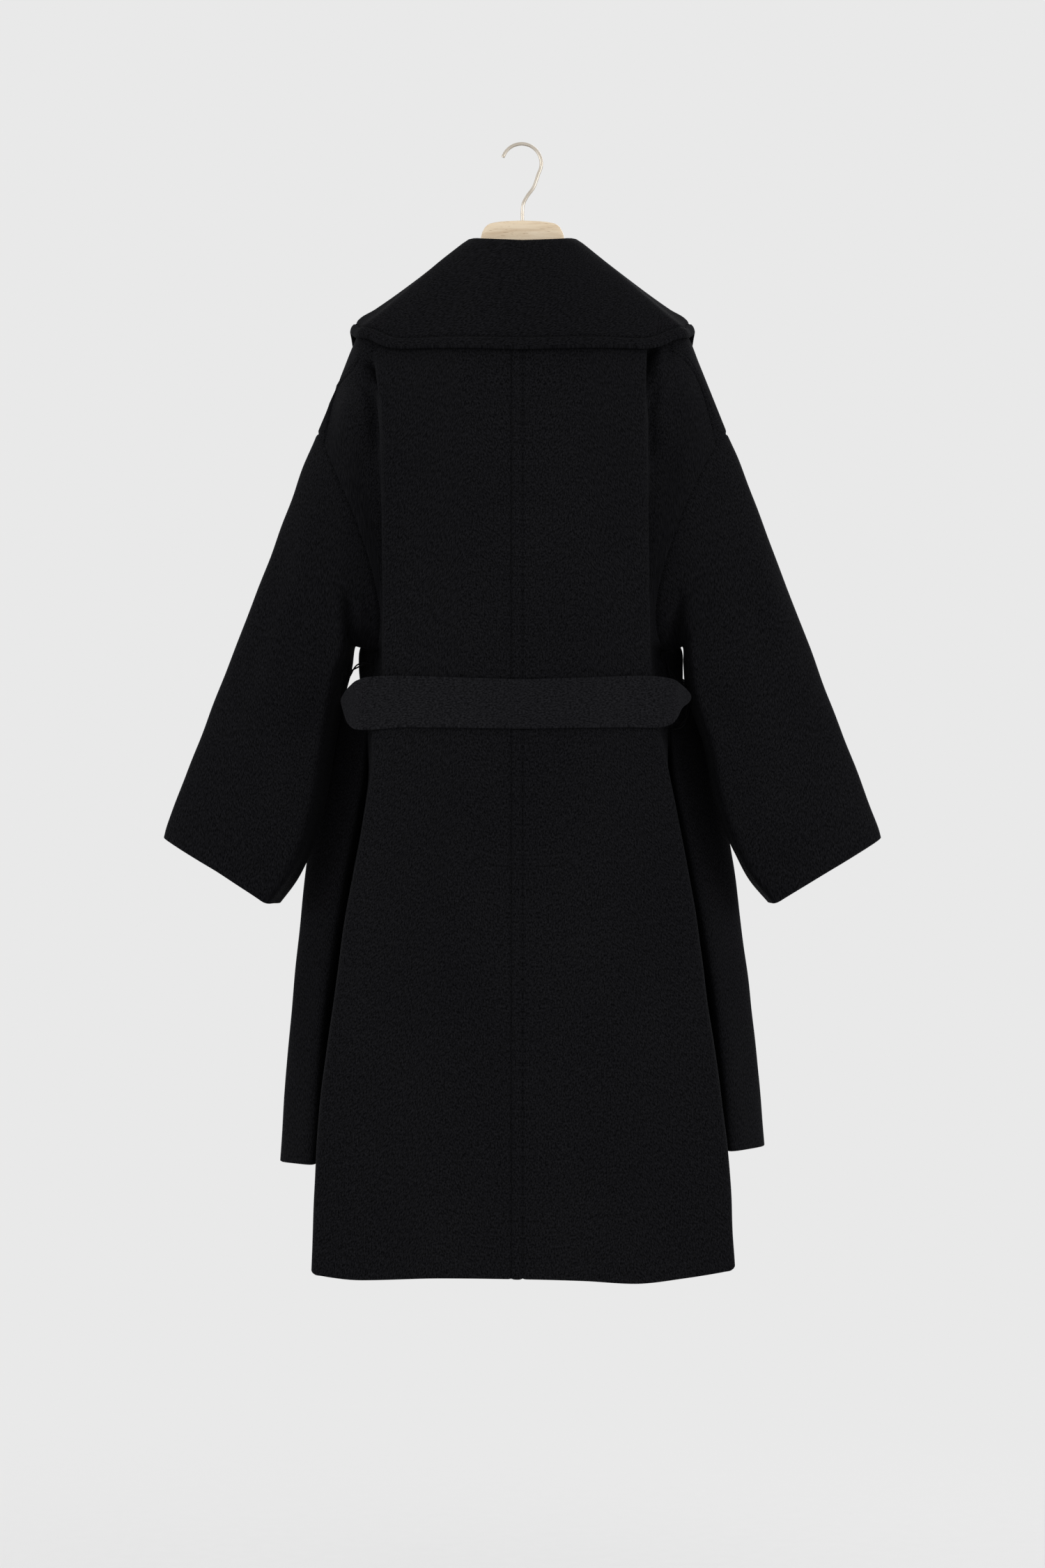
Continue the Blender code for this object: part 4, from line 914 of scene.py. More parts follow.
FRONT_CREASES = Table(
    CREASE,
    (0.035, -0.598, 0.112, -0.470, 0.008, 0.012, -0.0038, 0.8),
    (0.062, -0.602, 0.150, -0.520, 0.006, 0.014, -0.0030, 0.7),
    (-0.035, -0.598, -0.118, -0.485, -0.008, 0.013, -0.0042, 0.8),
    (-0.080, -0.604, -0.160, -0.540, -0.004, 0.012, -0.0028, 0.6),
    (0.052, -0.680, 0.085, -1.120, 0.008, 0.024, -0.0052, 0.8),
    (0.112, -0.680, 0.150, -1.080, -0.006, 0.022, 0.0045, 0.7),
    (0.165, -0.700, 0.190, -1.130, 0.006, 0.018, -0.0040, 0.6),
    (-0.062, -0.680, -0.104, -1.130, -0.010, 0.026, -0.0056, 0.8),
    (-0.125, -0.680, -0.155, -1.060, 0.008, 0.022, 0.0040, 0.7),
    (-0.175, -0.700, -0.205, -1.140, -0.006, 0.018, -0.0042, 0.6),
    (0.004, -0.700, 0.012, -1.140, 0.006, 0.030, 0.0035, 0.6),
)
SLEEVE_BACK_CREASES = Table(
    CREASE,
    (-0.236, -0.425, -0.318, -0.690, 0.004, 0.012, 0.0036, 0.2),
    (-0.262, -0.430, -0.340, -0.690, 0.004, 0.014, -0.0032, 0.2),
    (-0.190, -0.580, -0.1955, -0.508, 0.002, 0.006, -0.0110, 1.0),
    (-0.203, -0.585, -0.2080, -0.500, 0.002, 0.010, 0.0036, 1.0),
    (-0.218, -0.620, -0.270, -0.720, -0.008, 0.018, -0.0026, 0.4),
    (-0.300, -0.690, -0.345, -0.800, 0.006, 0.020, -0.0024, 0.2),
    (-0.262, -0.640, -0.290, -0.800, 0.006, 0.020, 0.0020, 0.2),
    (0.262, -0.440, 0.332, -0.650, -0.006, 0.014, 0.0034, 0.2),
    (0.236, -0.450, 0.300, -0.640, -0.004, 0.016, -0.0022, 0.2),
    (0.174, -0.580, 0.1790, -0.508, 0.002, 0.006, -0.0100, 1.0),
    (0.188, -0.585, 0.1930, -0.500, 0.002, 0.010, 0.0034, 1.0),
    (0.218, -0.630, 0.262, -0.740, 0.008, 0.018, -0.0024, 0.4),
    (0.292, -0.660, 0.340, -0.780, -0.006, 0.022, -0.0026, 0.2),
)
SLEEVE_FRONT_CREASES = Table(
    CREASE,
    (-0.245, -0.440, -0.325, -0.700, 0.006, 0.014, 0.0034, 0.2),
    (-0.196, -0.500, -0.172, -0.572, 0.004, 0.008, -0.0060, 0.2),
    (-0.222, -0.610, -0.300, -0.655, -0.006, 0.013, -0.0038, 0.7),
    (-0.226, -0.665, -0.296, -0.700, -0.006, 0.012, -0.0030, 0.6),
    (-0.290, -0.720, -0.335, -0.810, 0.006, 0.020, -0.0024, 0.2),
    (0.250, -0.450, 0.322, -0.690, -0.006, 0.014, 0.0032, 0.2),
    (0.190, -0.505, 0.172, -0.572, -0.004, 0.008, -0.0060, 0.2),
    (0.222, -0.600, 0.292, -0.640, 0.006, 0.013, -0.0036, 0.7),
    (0.226, -0.650, 0.302, -0.690, 0.006, 0.012, -0.0032, 0.6),
    (0.286, -0.710, 0.332, -0.800, -0.006, 0.020, -0.0026, 0.2),
)
COLLAR_CREASES = Table(
    CREASE,
    (-0.060, -0.128, -0.110, -0.225, 0.004, 0.022, -0.0016, 0.4),
    (0.045, -0.128, 0.085, -0.220, -0.004, 0.026, 0.0014, 0.4),
    (0.075, -0.140, 0.140, -0.222, -0.004, 0.018, -0.0014, 0.3),
    (-0.010, -0.130, -0.020, -0.225, 0.004, 0.030, 0.0012, 0.3),
)

# How far the back hem hangs below or above its mean line
HEM_WAVE = Table(
    "x drop",
    (-0.240, 0.006),
    (-0.180, -0.001),
    (-0.090, 0.001),
    (0.000, 0.000),
    (0.070, -0.002),
    (0.125, -0.005),
    (0.180, 0.001),
    (0.240, 0.011),
)
HEM_WAVE_HEIGHT = 0.20

# Where a back fold dives under the collar, it is pressed in already
FOLD_CREASES = Table(
    CREASE,
    (-0.1775, -0.238, -0.1635, -0.360, 0.000, 0.0065, -0.0190, 1.0),
    (0.1480, -0.236, 0.1450, -0.370, 0.000, 0.0055, -0.0190, 1.0),
)
FOLD_STEP = 0.0017
FOLD_CREASE_START = (0.001, 0.016)
CREASE_STEPS = np.linspace(0, 1, 13)
CREASE_REACH = 3.0
CREASE_FADE = 0.8
BELT_HEIGHT = -0.640
BELT_CLEAR = 0.050
COLLAR_CLEAR = (-0.235, -0.285)
LAPEL_CLEAR = (-0.430, -0.490)


def crease_relief(points, facing, creases):
    """How far the creases lift the cloth. Facing is how much the cloth looks their way."""
    flat = points[..., (0, 2)].reshape(-1, 2)
    relief = np.zeros(len(flat))
    steps = CREASE_STEPS
    for x0, z0, x1, z1, bend, width, depth, begin in creases.rows():
        run = np.array([x1 - x0, z1 - z0])
        aside = np.array([-run[1], run[0]]) / np.linalg.norm(run)
        bow = 4 * bend * steps * (1 - steps)
        line = np.array([x0, z0]) + steps[:, None] * run + bow[:, None] * aside
        far = CREASE_REACH * width
        near = np.all((flat > line.min(axis=0) - far) & (flat < line.max(axis=0) + far), axis=1)
        spot = flat[near]
        best = np.full(len(spot), np.inf)
        share = np.zeros(len(spot))
        for k in range(len(line) - 1):
            piece = line[k + 1] - line[k]
            t = np.clip((spot - line[k]) @ piece / (piece @ piece), 0, 1)
            gap = np.linalg.norm(spot - line[k] - t[:, None] * piece, axis=1)
            closer = gap < best
            best = np.where(closer, gap, best)
            share = np.where(closer, (k + t) / (len(line) - 1), share)
        fade = np.sin(math.pi * (begin / 2 + (1 - begin / 2) * share)) ** CREASE_FADE
        relief[near] += depth * np.exp(-((best / width) ** 2)) * np.clip(fade, 0, 1)
    return relief.reshape(points.shape[:-1]) * facing


# The unevenness of each cloth: the size and the height of its waves, and a fixed seed
UNEVEN = {
    "back": (0.09, 0.0007, 3),
    "front": (0.09, 0.0007, 5),
    "sleeve": (0.08, 0.0008, 7),
    "collar": (0.10, 0.0006, 11),
    "belt": (0.06, 0.0012, 17),
}
WAVES = 14
WAVE_SPREAD = (0.6, 1.8)


def unevenness(points, kind):
    """The slight unevenness of thick cloth: a few waves of about one size, in fixed directions."""
    size, height, seed = UNEVEN[kind]
    draw = np.random.default_rng(seed)
    ways = unit(draw.normal(size=(WAVES, 3)))
    ways = ways * draw.uniform(*WAVE_SPREAD, (WAVES, 1)) * 2 * math.pi / size
    turns = draw.uniform(0, 2 * math.pi, WAVES)
    return height * np.sin(points @ ways.T + turns).mean(axis=-1) * 2


def seam_dip(distance, depth=0.0017, width=0.0021):
    """The cloth sinks a little where a seam draws it in."""
    return -depth * np.exp(-((distance / width) ** 2))


def stitched_band(distance, place, depth=0.0014, width=0.0014, swell=0.0009):
    """A row of stitches sinks the cloth at its place, and the band up to the edge swells."""
    share = np.clip(distance / place, 0, 1)
    return -depth * np.exp(-(((distance - place) / width) ** 2)) + swell * 4 * share * (1 - share)


def looking(normals, gain):
    """How much the cloth looks to the front, or to the back where the gain is negative, up to one."""
    return np.clip(normals[..., 1] * gain, 0, 1)


def clear_of_belt(points):
    return 1 - np.exp(-(((points[..., 2] - BELT_HEIGHT) / BELT_CLEAR) ** 4))


# Shells of cloth

ROUND_RIM = ((0.16, 0.55), (0.50, 1.0), (0.84, 0.55))
TWO_LAYER_RIM = (
    (0.10, 0.60), (0.28, 0.95), (0.44, 0.55), (0.50, 0.15), (0.56, 0.55), (0.72, 0.95), (0.90, 0.60)
)
SHARP_ANGLE = math.radians(60)


def corners(table):
    """The four corners of each cell of a grid of numbers or of places, cell by cell."""
    cells = np.stack([table[:-1, :-1], table[:-1, 1:], table[1:, 1:], table[1:, :-1]], axis=2)
    return cells.reshape(-1, 4, *table.shape[2:])


def wrapped(grid, ring, loop=False):
    """The grid with its first column, or its first row, once more at the end."""
    if ring:
        grid = np.concatenate([grid, grid[:, :1]], axis=1)
    if loop:
        grid = np.concatenate([grid, grid[:1]], axis=0)
    return grid


def open_edges(rows, columns, ring, loop):
    """The open edges of a grid, each a closed line of places."""
    r = np.arange(rows)
    c = np.arange(columns)
    if ring:
        return [(np.zeros(columns, int), c), (np.full(columns, rows - 1), c[::-1])]
    if loop:
        return [(r[::-1], np.zeros(rows, int)), (r, np.full(rows, columns - 1))]
    line_rows = [np.zeros(columns, int), r[1:], np.full(columns - 1, rows - 1), r[-2:0:-1]]
    line_columns = [c, np.full(rows - 1, columns - 1), c[-2::-1], np.zeros(rows - 2, int)]
    return [(np.concatenate(line_rows), np.concatenate(line_columns))]


def shell(name, outer, inner, material, ring=False, loop=False, free=(), rim=ROUND_RIM):
    """A closed shell between two grids of points. Its free edges are rounded, its seams are plain.
    Its UV map gives metres across and down the cloth."""
    rows, columns = outer.shape[:2]
    count = rows * columns
    number = np.arange(count).reshape(rows, columns)
    ends = wrapped(outer, ring, loop)
    chart = np.stack([reach(ends, 1), -reach(ends, 0)], axis=-1)
    skin = corners(wrapped(number, ring, loop))
    skin_chart = corners(chart)
    points = [outer.reshape(-1, 3), inner.reshape(-1, 3)]
    faces = [skin, skin[:, ::-1] + count]
    charts = [skin_chart, skin_chart[:, ::-1]]
    total = 2 * count
    for line_rows, line_columns in open_edges(rows, columns, ring, loop):
        edge = number[line_rows, line_columns]
        over = points[0][edge]
        under = points[1][edge]
        inside_rows = line_rows if loop else np.clip(line_rows, 1, rows - 2)
        inside_columns = line_columns if ring else np.clip(line_columns, 1, columns - 2)
        out = unit(over - points[0][number[inside_rows, inside_columns]])
        bulge = np.zeros(len(edge))
        for side, at_side in (
            ("top", line_rows == 0),
            ("bottom", line_rows == rows - 1),
            ("start", line_columns == 0),
            ("end", line_columns == columns - 1),
        ):
            if side in free:
                bulge = np.where(at_side, np.linalg.norm(over - under, axis=1) / 2, bulge)
        rings = [edge]
        for share, swell in rim:
            points.append(over * (1 - share) + under * share + out * (bulge * swell)[:, None])
            rings.append(total + np.arange(len(edge)))
            total += len(edge)
        rings.append(edge + count)
        edge_chart = chart[line_rows, line_columns]
        next_chart = np.roll(edge_chart, -1, axis=0)
        for near, far in zip(rings, rings[1:]):
            faces.append(np.stack([np.roll(near, -1), near, far, np.roll(far, -1)], axis=1))
            charts.append(np.stack([next_chart, edge_chart, edge_chart, next_chart], axis=1))
    return solid_mesh(name, points, faces, charts, material)


def add_object(name, data):
    made = bpy.data.objects.new(name, data)
    bpy.context.scene.collection.objects.link(made)
    return made


def solid_mesh(name, points, faces, charts, material):
    """A closed mesh of four-sided faces that look outwards, with a UV map, from lists of its parts."""
    points = np.concatenate(points)
    faces = np.concatenate(faces)
    chart = np.concatenate(charts)
    a, b, c, d = (points[faces[:, k]] for k in range(4))
    volume = (a * np.cross(b, c)).sum() + (a * np.cross(c, d)).sum()
    if volume < 0:
        faces = faces[:, ::-1]
        chart = chart[:, ::-1]
    mesh = bpy.data.meshes.new(name)
    mesh.from_pydata(points.tolist(), [], faces.tolist())
    layer = mesh.uv_layers.new(name="cloth")
    layer.data.foreach_set("uv", np.ascontiguousarray(chart, np.float32).ravel())
    mesh.materials.append(material)
    mesh.shade_smooth()
    mesh.set_sharp_from_angle(angle=SHARP_ANGLE)
    return add_object(name, mesh)


def cloth(name, outer, normals, thickness, drape, surface, material, **edges):
    """A shell of cloth: the drape moves both its faces, the surface only the outer one."""
    inner = outer + normals * (drape - thickness)[..., None]
    return shell(name, outer + normals * (drape + surface)[..., None], inner, material, **edges)


def fine_form(form, **extra):
    """A form's points and unit normals, read finely."""
    grid, normals = read_finely(form, CLOTH_STEP, **extra)
    return grid, unit(normals)


# The panels

CENTRE_BAND = 0.0130
SHOULDER_BAND = 0.0075
COLLAR_BAND = 0.0115
STITCH_RISE = 0.0004
BAND_STEP = 0.0010
BAND_START = 0.0075
BAND_PAST = 0.0065
# How fast creases gain strength on cloth that turns towards them
BODY_GAIN = 1.4
SLEEVE_GAIN = 1.6
BELT_GAIN = 3.0
# Creases fade towards seams and edges, over these distances
SEAM_FADE = 0.02
ARMHOLE_FADE = 0.012
COLLAR_EDGE_FADE = (0.012, 0.04)
COLLAR_SEAM_FADE = 0.05
COLLAR_DEEPEST = -0.0015
# At the collar's two tips the stitched band fades, and its stitches stop some rows of points short
COLLAR_TIP_FADE = 0.012
COLLAR_TIP_ROWS = 3


def band_lines(place):
    """Extra lines of points on both sides of a row of stitches."""
    return np.arange(BAND_START, place + BAND_PAST, BAND_STEP)


def row_at(outer, normals, relief, distance, place, axis):
    """The line on a form's face at this distance from an edge."""
    face = outer + normals * (relief + STITCH_RISE)[..., None]
    if axis == 0:
        face = face.transpose(1, 0, 2)
        distance = distance.T
    found = []
    for line, along in zip(face, distance):
        found.append([np.interp(place, along, line[:, k]) for k in range(3)])
    return np.array(found)


def make_back(side, wool):
    grid, normals = back_grid(side)
    grid[:, 0, 0] -= SEAM_LAP / 2
    grid[0] = pulled(grid[0], grid[1], -SEAM_LAP / 2)
    lap_side(grid, side, np.arange(SEAM_RING_STEP, RING_POINTS // 2 + 1))
    form = (mirrored(grid, side), mirrored(normals, side))
    across = mean_reach(grid, 1)
    folds = np.arange(across[FLAT_COLUMNS - 1], across[BACK_COLUMNS - OUTER_COLUMNS], FOLD_STEP)
    outer, normals = fine_form(form, extra_columns=np.concatenate([band_lines(CENTRE_BAND), folds]))
    low = smooth_step(-outer[..., 2], -BACK_HEM - HEM_WAVE_HEIGHT, -BACK_HEM)
    outer[..., 2] += low * HEM_WAVE.at("drop", outer[..., 0])
    facing = looking(normals, -BODY_GAIN)
    drape = crease_relief(outer, facing, BACK_CREASES) + unevenness(outer, "back")
    drape = drape * clear_of_belt(outer) * smooth_step(outer[..., 2], *COLLAR_CLEAR)
    across = reach(outer, 1)
    down = reach(outer, 0)
    drape = drape + crease_relief(outer, facing, FOLD_CREASES) * smooth_step(down, *FOLD_CREASE_START)
    drape = drape * smooth_step(across, 0, SEAM_FADE) * smooth_step(from_end(across, 1), 0, SEAM_FADE)
    surface = seam_dip(across) + seam_dip(from_end(across, 1)) + seam_dip(down)
    rows = []
    if side == "left":
        surface = surface + stitched_band(across, CENTRE_BAND)
        rows.append(row_at(outer, normals, drape + surface, across, CENTRE_BAND, 1))
    made = cloth(f"back_cloth_{side}", outer, normals, CLOTH, drape, surface, wool, free=("bottom",))
    return made, rows


def make_front(side, wool):
    grid, normals = front_grid(side, *back_grid(side))
    grid[0] = pulled(grid[0], grid[1], -SEAM_LAP / 2)
    lap_side(grid, side, np.arange(SEAM_RING_STEP, -RING_POINTS // 2 - 1, -1))
    form = (mirrored(grid, side), mirrored(normals, side))
    outer, normals = fine_form(form, extra_rows=band_lines(SHOULDER_BAND))
    facing = looking(normals, BODY_GAIN)
    drape = crease_relief(outer, facing, FRONT_CREASES) + unevenness(outer, "front")
    drape = drape * clear_of_belt(outer) * smooth_step(outer[..., 2], *LAPEL_CLEAR)
    across = reach(outer, 1)
    down = reach(outer, 0)
    drape = drape * smooth_step(from_end(across, 1), 0, SEAM_FADE)
    surface = seam_dip(from_end(across, 1)) + seam_dip(down) + stitched_band(down, SHOULDER_BAND)
    free = ("bottom", "start")
    made = cloth(f"front_cloth_{side}", outer, normals, CLOTH, drape, surface, wool, free=free)
    return made, [row_at(outer, normals, drape + surface, down, SHOULDER_BAND, 0)]


def make_sleeve(side, wool):
    grid, normals = sleeve_grid(side)
    grid[0] -= armhole_across(side, np.arange(RING_POINTS)) * SEAM_LAP / 2
    outer, normals = fine_form((mirrored(grid, side), mirrored(normals, side)), ring=True)
    behind = looking(normals, -SLEEVE_GAIN)
    before = looking(normals, SLEEVE_GAIN)
    drape = crease_relief(outer, behind, SLEEVE_BACK_CREASES)
    drape = drape + crease_relief(outer, before, SLEEVE_FRONT_CREASES)
    drape = drape + unevenness(outer, "sleeve")
    down = reach(outer, 0)
    drape = drape * smooth_step(down, 0, ARMHOLE_FADE)
    edges = {"ring": True, "free": ("bottom",)}
    return cloth(f"sleeve_cloth_{side}", outer, normals, CLOTH, drape, seam_dip(down), wool, **edges), []


def make_collar(wool):
    left = mirrored(collar_half("left"), "left")
    whole = np.concatenate([left[:0:-1], collar_half("right")])
    normals = grid_normals(whole)
    normals = turned(normals, -normals[len(whole) // 2, 1, 1])
    roll = len(FALL_SHARES)
    fold = unit(whole[:, roll - 1] - whole[:, roll]) + unit(whole[:, roll + 1] - whole[:, roll])
    normals[:, roll] = -unit(fold)
    normals[:, roll - 1] = normals[:, roll - 2]
    normals[:, roll + 1] = normals[:, roll + 2]
    whole[:, -1] = pulled(whole[:, -1], whole[:, -2], -SEAM_LAP)
    thickness = np.full(whole.shape[1], COLLAR_WALL)
    thickness[-len(STAND_SHARES) :] = np.linspace(COLLAR_WALL, COLLAR_SEAM_WALL, len(STAND_SHARES))
    thickness = np.broadcast_to(thickness[None, :, None], (*whole.shape[:2], 1))
    under, normals, thick = read_finely(
        (whole, normals, thickness), CLOTH_STEP, extra_columns=band_lines(COLLAR_BAND)
    )
    normals = unit(normals)
    outer = under + normals * thick
    across = reach(outer, 1)
    along = reach(outer, 0)
    facing = looking(normals, -SLEEVE_GAIN) * smooth_step(across, *COLLAR_EDGE_FADE)
    drape = crease_relief(outer, facing, COLLAR_CREASES) + unevenness(outer, "collar")
    drape = np.maximum(drape, COLLAR_DEEPEST) * smooth_step(from_end(across, 1), 0, COLLAR_SEAM_FADE)
    surface = stitched_band(across, COLLAR_BAND, depth=0.0017, swell=0.0016)
    ends = np.minimum(along, from_end(along, 0))
    surface = surface * smooth_step(ends, 0, COLLAR_TIP_FADE)
    edges = {"free": ("start", "top", "bottom"), "rim": TWO_LAYER_RIM}
    made = cloth("collar_cloth", outer, normals, thick[..., 0], drape, surface, wool, **edges)
    row = row_at(outer, normals, drape + surface, across, COLLAR_BAND, 1)
    return made, [row[COLLAR_TIP_ROWS:-COLLAR_TIP_ROWS]]


# The belt

BELT_SWELL = 0.0010
BELT_CREASES = Table(
    CREASE,
    (-0.1840, -0.612, -0.1905, -0.668, 0.001, 0.0030, -0.0018, 1.0),
    (-0.1700, -0.618, -0.1780, -0.650, 0.002, 0.0060, 0.0012, 0.6),
    (0.1780, -0.628, 0.1530, -0.658, 0.000, 0.0028, -0.0016, 1.0),
    (0.1630, -0.615, 0.1480, -0.645, 0.002, 0.0070, 0.0010, 0.5),
)


def belt_form():
    """The outer face of the belt, as a loop of three points across, and its normals."""
    turns = np.linspace(0, 1, BELT_STEPS)
    halves = {side: belt_half(side, turns) for side in SIDES}
    upper = np.concatenate([halves["right"][0], halves["left"][0][-2:0:-1]])
    lower = np.concatenate([halves["right"][1], halves["left"][1][-2:0:-1]])
    along = np.roll(upper, -1, axis=0) - np.roll(upper, 1, axis=0)
    out = unit(np.cross(along, np.array([0.0, 0.0, 1.0])))
    out = turned(out, -out[0, 1])
    middle = np.stack([upper, (upper + lower) / 2, lower], axis=1)
    return middle + out[:, None, :] * BELT_WALL / 2, np.repeat(out[:, None, :], 3, axis=1)


def make_belt(wool):
    outer, normals = fine_form(belt_form(), loop=True)
    across = reach(outer, 1)
    width = np.take(across, [-1], 1)
    swell = 4 * across / width * (1 - across / width)
    surface = BELT_SWELL * swell + swell * unevenness(outer, "belt")
    drape = crease_relief(outer, looking(normals, -BELT_GAIN), BELT_CREASES)
    edges = {"loop": True, "free": ("start", "end"), "rim": TWO_LAYER_RIM}
    return cloth("belt_cloth", outer, normals, BELT_WALL, drape, surface, wool, **edges)


KNOT_ROWS = 72
KNOT_COLUMNS = 96
KNOT_LEAN = 89
KNOT_SQUARE = 0.72
# Shares of the knot's depth: its middle, its front half, and where its folds have their full depth
KNOT_SEAT = 0.36
KNOT_FRONT = 0.62
KNOT_FOLDED = 0.5
# The size of its hollow, as a share of its own
KNOT_INNER = 0.86
KNOT_FOLDS = Table(
    "turn place width depth",
    (0.55, 0.006, 0.0035, -0.0045),
    (0.85, -0.009, 0.0030, -0.0035),
    (0.25, 0.017, 0.0030, -0.0030),
    (1.25, -0.018, 0.0032, -0.0026),
)


def make_knot(wool):
    """The knot: a soft lump of folded belt, flat where it lies on the belt."""
    lean = np.radians(np.linspace(-KNOT_LEAN, KNOT_LEAN, KNOT_ROWS))[:, None]
    turn = around(KNOT_COLUMNS)[None, :]

    def rounded(value):
        return squared(value, KNOT_SQUARE)

    x = KNOT_HALF_WIDTH * rounded(np.sin(lean)) * np.ones_like(turn)
    z = KNOT_HALF_HEIGHT * rounded(np.cos(lean)) * rounded(np.cos(turn))
    y = rounded(np.cos(lean)) * rounded(np.sin(turn))
    base = belt_front() - SEAM_LAP
    y = base + KNOT_DEPTH * (KNOT_SEAT + np.where(y > 0, KNOT_FRONT, KNOT_SEAT) * y)
    outer = np.stack([x, y, z + knot_middle()], axis=-1)
    normals = grid_normals(outer, ring=True)
    normals = turned(normals, normals[KNOT_ROWS // 2, KNOT_COLUMNS // 4, 1])
    relief = np.zeros((KNOT_ROWS, KNOT_COLUMNS))
    for way, place, width, depth in KNOT_FOLDS.rows():
        distance = x * math.cos(way) + z * math.sin(way) - place
        relief = relief + depth * np.exp(-((distance / width) ** 2))
    relief = relief * np.clip((y - base) / (KNOT_FOLDED * KNOT_DEPTH), 0, 1)
    outer = outer + normals * relief[..., None]
    middle = np.array([0.0, base + KNOT_SEAT * KNOT_DEPTH, knot_middle()])
    inner = middle + (outer - middle) * KNOT_INNER
    return shell("belt_knot_cloth", outer, inner, wool, ring=True)


# The folds of an end across its width, from -1 to 1, which fade away from the knot
TAIL_FOLDS = ((-0.45, 0.0030), (0.10, -0.0026), (0.55, 0.0026))
TAIL_FOLD_WIDTH = 0.22
TAIL_FOLD_LOWEST = -0.0003
TAIL_FOLD_FADE = 0.05
# The curl of its two long edges further down, which comes and goes
TAIL_CURL = 0.0030
TAIL_CURL_START = (0.08, 0.20)
TAIL_CURL_PITCH = 0.045
TAIL_CURL_MEAN = 0.6
# The share of its length at which it has come from the belt to the front, and the slant of its cut end
TAIL_SETTLED = 0.4
TAIL_SLANT = 0.012
TAIL_STEP = 0.003
TAIL_LIFT = 0.0004
TAIL_SWELL = 0.0008


def make_tail(side, wool):
    """A free end of the belt: gathered at the knot, then hanging flat with a soft curl."""
    row = list(TAILS.column("side")).index(SIDES[side])
    start, lean, bottom = (TAILS.column(name)[row] for name in ("start", "lean", "bottom"))
    top = knot_middle() - KNOT_HALF_HEIGHT + SEAM_LAP
    inner = []
    for share in np.linspace(0, 1, TAIL_ROWS):
        z = top + (bottom - top) * share
        half = TAIL_WIDTH.at("half", share)
        across = np.linspace(-1, 1, TAIL_COLUMNS)
        x = SIDES[side] * (start + lean * share + max(0.0, half - start)) + across * half
        hang = (belt_front() + TAIL_OFF_BELT) * (1 - share / TAIL_SETTLED)
        rest = FRONT.at("flat", z) + OVERLAP_LIFT + TAIL_SEAT
        y = max(rest, hang + rest * share / TAIL_SETTLED)
        slant = SIDES[side] * TAIL_SLANT * share * across
        inner.append(np.stack([x, np.full(TAIL_COLUMNS, y), z + slant], axis=-1))
    (under,) = read_finely((np.array(inner),), TAIL_STEP)
    across = reach(under, 1)
    share = across / np.take(across, [-1], 1) * 2 - 1
    down = reach(under, 0)
    lift = np.full(share.shape, TAIL_LIFT)
    for place, height in TAIL_FOLDS:
        fold = np.maximum(height * np.exp(-(((share - place) / TAIL_FOLD_WIDTH) ** 2)), TAIL_FOLD_LOWEST)
        lift = lift + fold * np.exp(-down / TAIL_FOLD_FADE)
    curl = TAIL_CURL_MEAN + (1 - TAIL_CURL_MEAN) * np.sin(down / TAIL_CURL_PITCH)
    lift = lift + TAIL_CURL * share**2 * smooth_step(down, *TAIL_CURL_START) * curl
    normals = np.broadcast_to(np.array([0.0, 1.0, 0.0]), under.shape)
    outer = under + normals * (BELT_WALL + lift + TAIL_SWELL * (1 - share**2))[..., None]
    inner = under + normals * lift[..., None]
    edges = {"free": ("start", "end", "bottom"), "rim": TWO_LAYER_RIM}
    return shell(f"belt_end_cloth_{side}", outer, inner, wool, **edges)


# Threads, wire and wood

TWIST_PITCH = 0.0340
PLY_RADIUS = 0.00090
PLY_OFFSET = 0.00140
PLY_SIDES = 8
LOOP_STEPS = 260
LOOP_IN_ABOVE = 0.015
LOOP_IN_BELOW = 0.006
LOOP_OVER = 0.001
LOOP_UNDER = 0.002
HANGER_SECTIONS = 181
HANGER_SIDES = 40
HANGER_SQUARE = 0.6
# The hook's stem sways to one side, by so much at so much above its top, before it bends
HOOK_SWAY = ((0.0, -0.005), (0.0008, 0.003), (0.0050, 0.0115), (0.0122, 0.0215))
HOOK_BEND_POINTS = 12
HOOK_STEPS = 220
HOOK_SIDES = 28
HOOK_TIP = np.array((0.94, 0.78))


def frames_along(path):
    """Two directions across a path, at each of its points, without a twist."""
    along = unit(np.gradient(path, axis=0))
    side = np.cross(along[0], (0.0, 1.0, 0.0) if abs(along[0][1]) < 0.9 else (1.0, 0.0, 0.0))
    sides = []
    for way in along:
        side = side - way * (side @ way)
        side = side / np.linalg.norm(side)
        sides.append(side)
    sides = np.array(sides)
    return sides, np.cross(along, sides)


def round_bar(path, radii, count):
    """Rings of points round a path."""
    one, other = frames_along(path)
    turn = around(count)[None, :, None]
    out = np.cos(turn) * one[:, None] + np.sin(turn) * other[:, None]
    return path[:, None] + out * np.asarray(radii)[:, None, None]


def ring_mesh(rings):
    """Points, faces and UV map of closed rings in a row, with a small fan of faces at each end."""
    rows, columns = rings.shape[:2]
    number = np.arange(rows * columns).reshape(rows, columns)
    ends = wrapped(rings, True)
    faces = [corners(wrapped(number, True))]
    charts = [corners(np.stack([reach(ends, 1), reach(ends, 0)], axis=-1))]
    for edge, flipped in ((number[0], True), (number[-1], False)):
        low = np.arange(columns // 2 - 1)
        high = columns - 1 - low
        cap = np.stack([edge[low], edge[low + 1], edge[high - 1], edge[high]], axis=1)
        faces.append(cap[:, ::-1] if flipped else cap)
        charts.append(np.zeros((len(cap), 4, 2)))
    return rings.reshape(-1, 3), np.concatenate(faces), np.concatenate(charts)


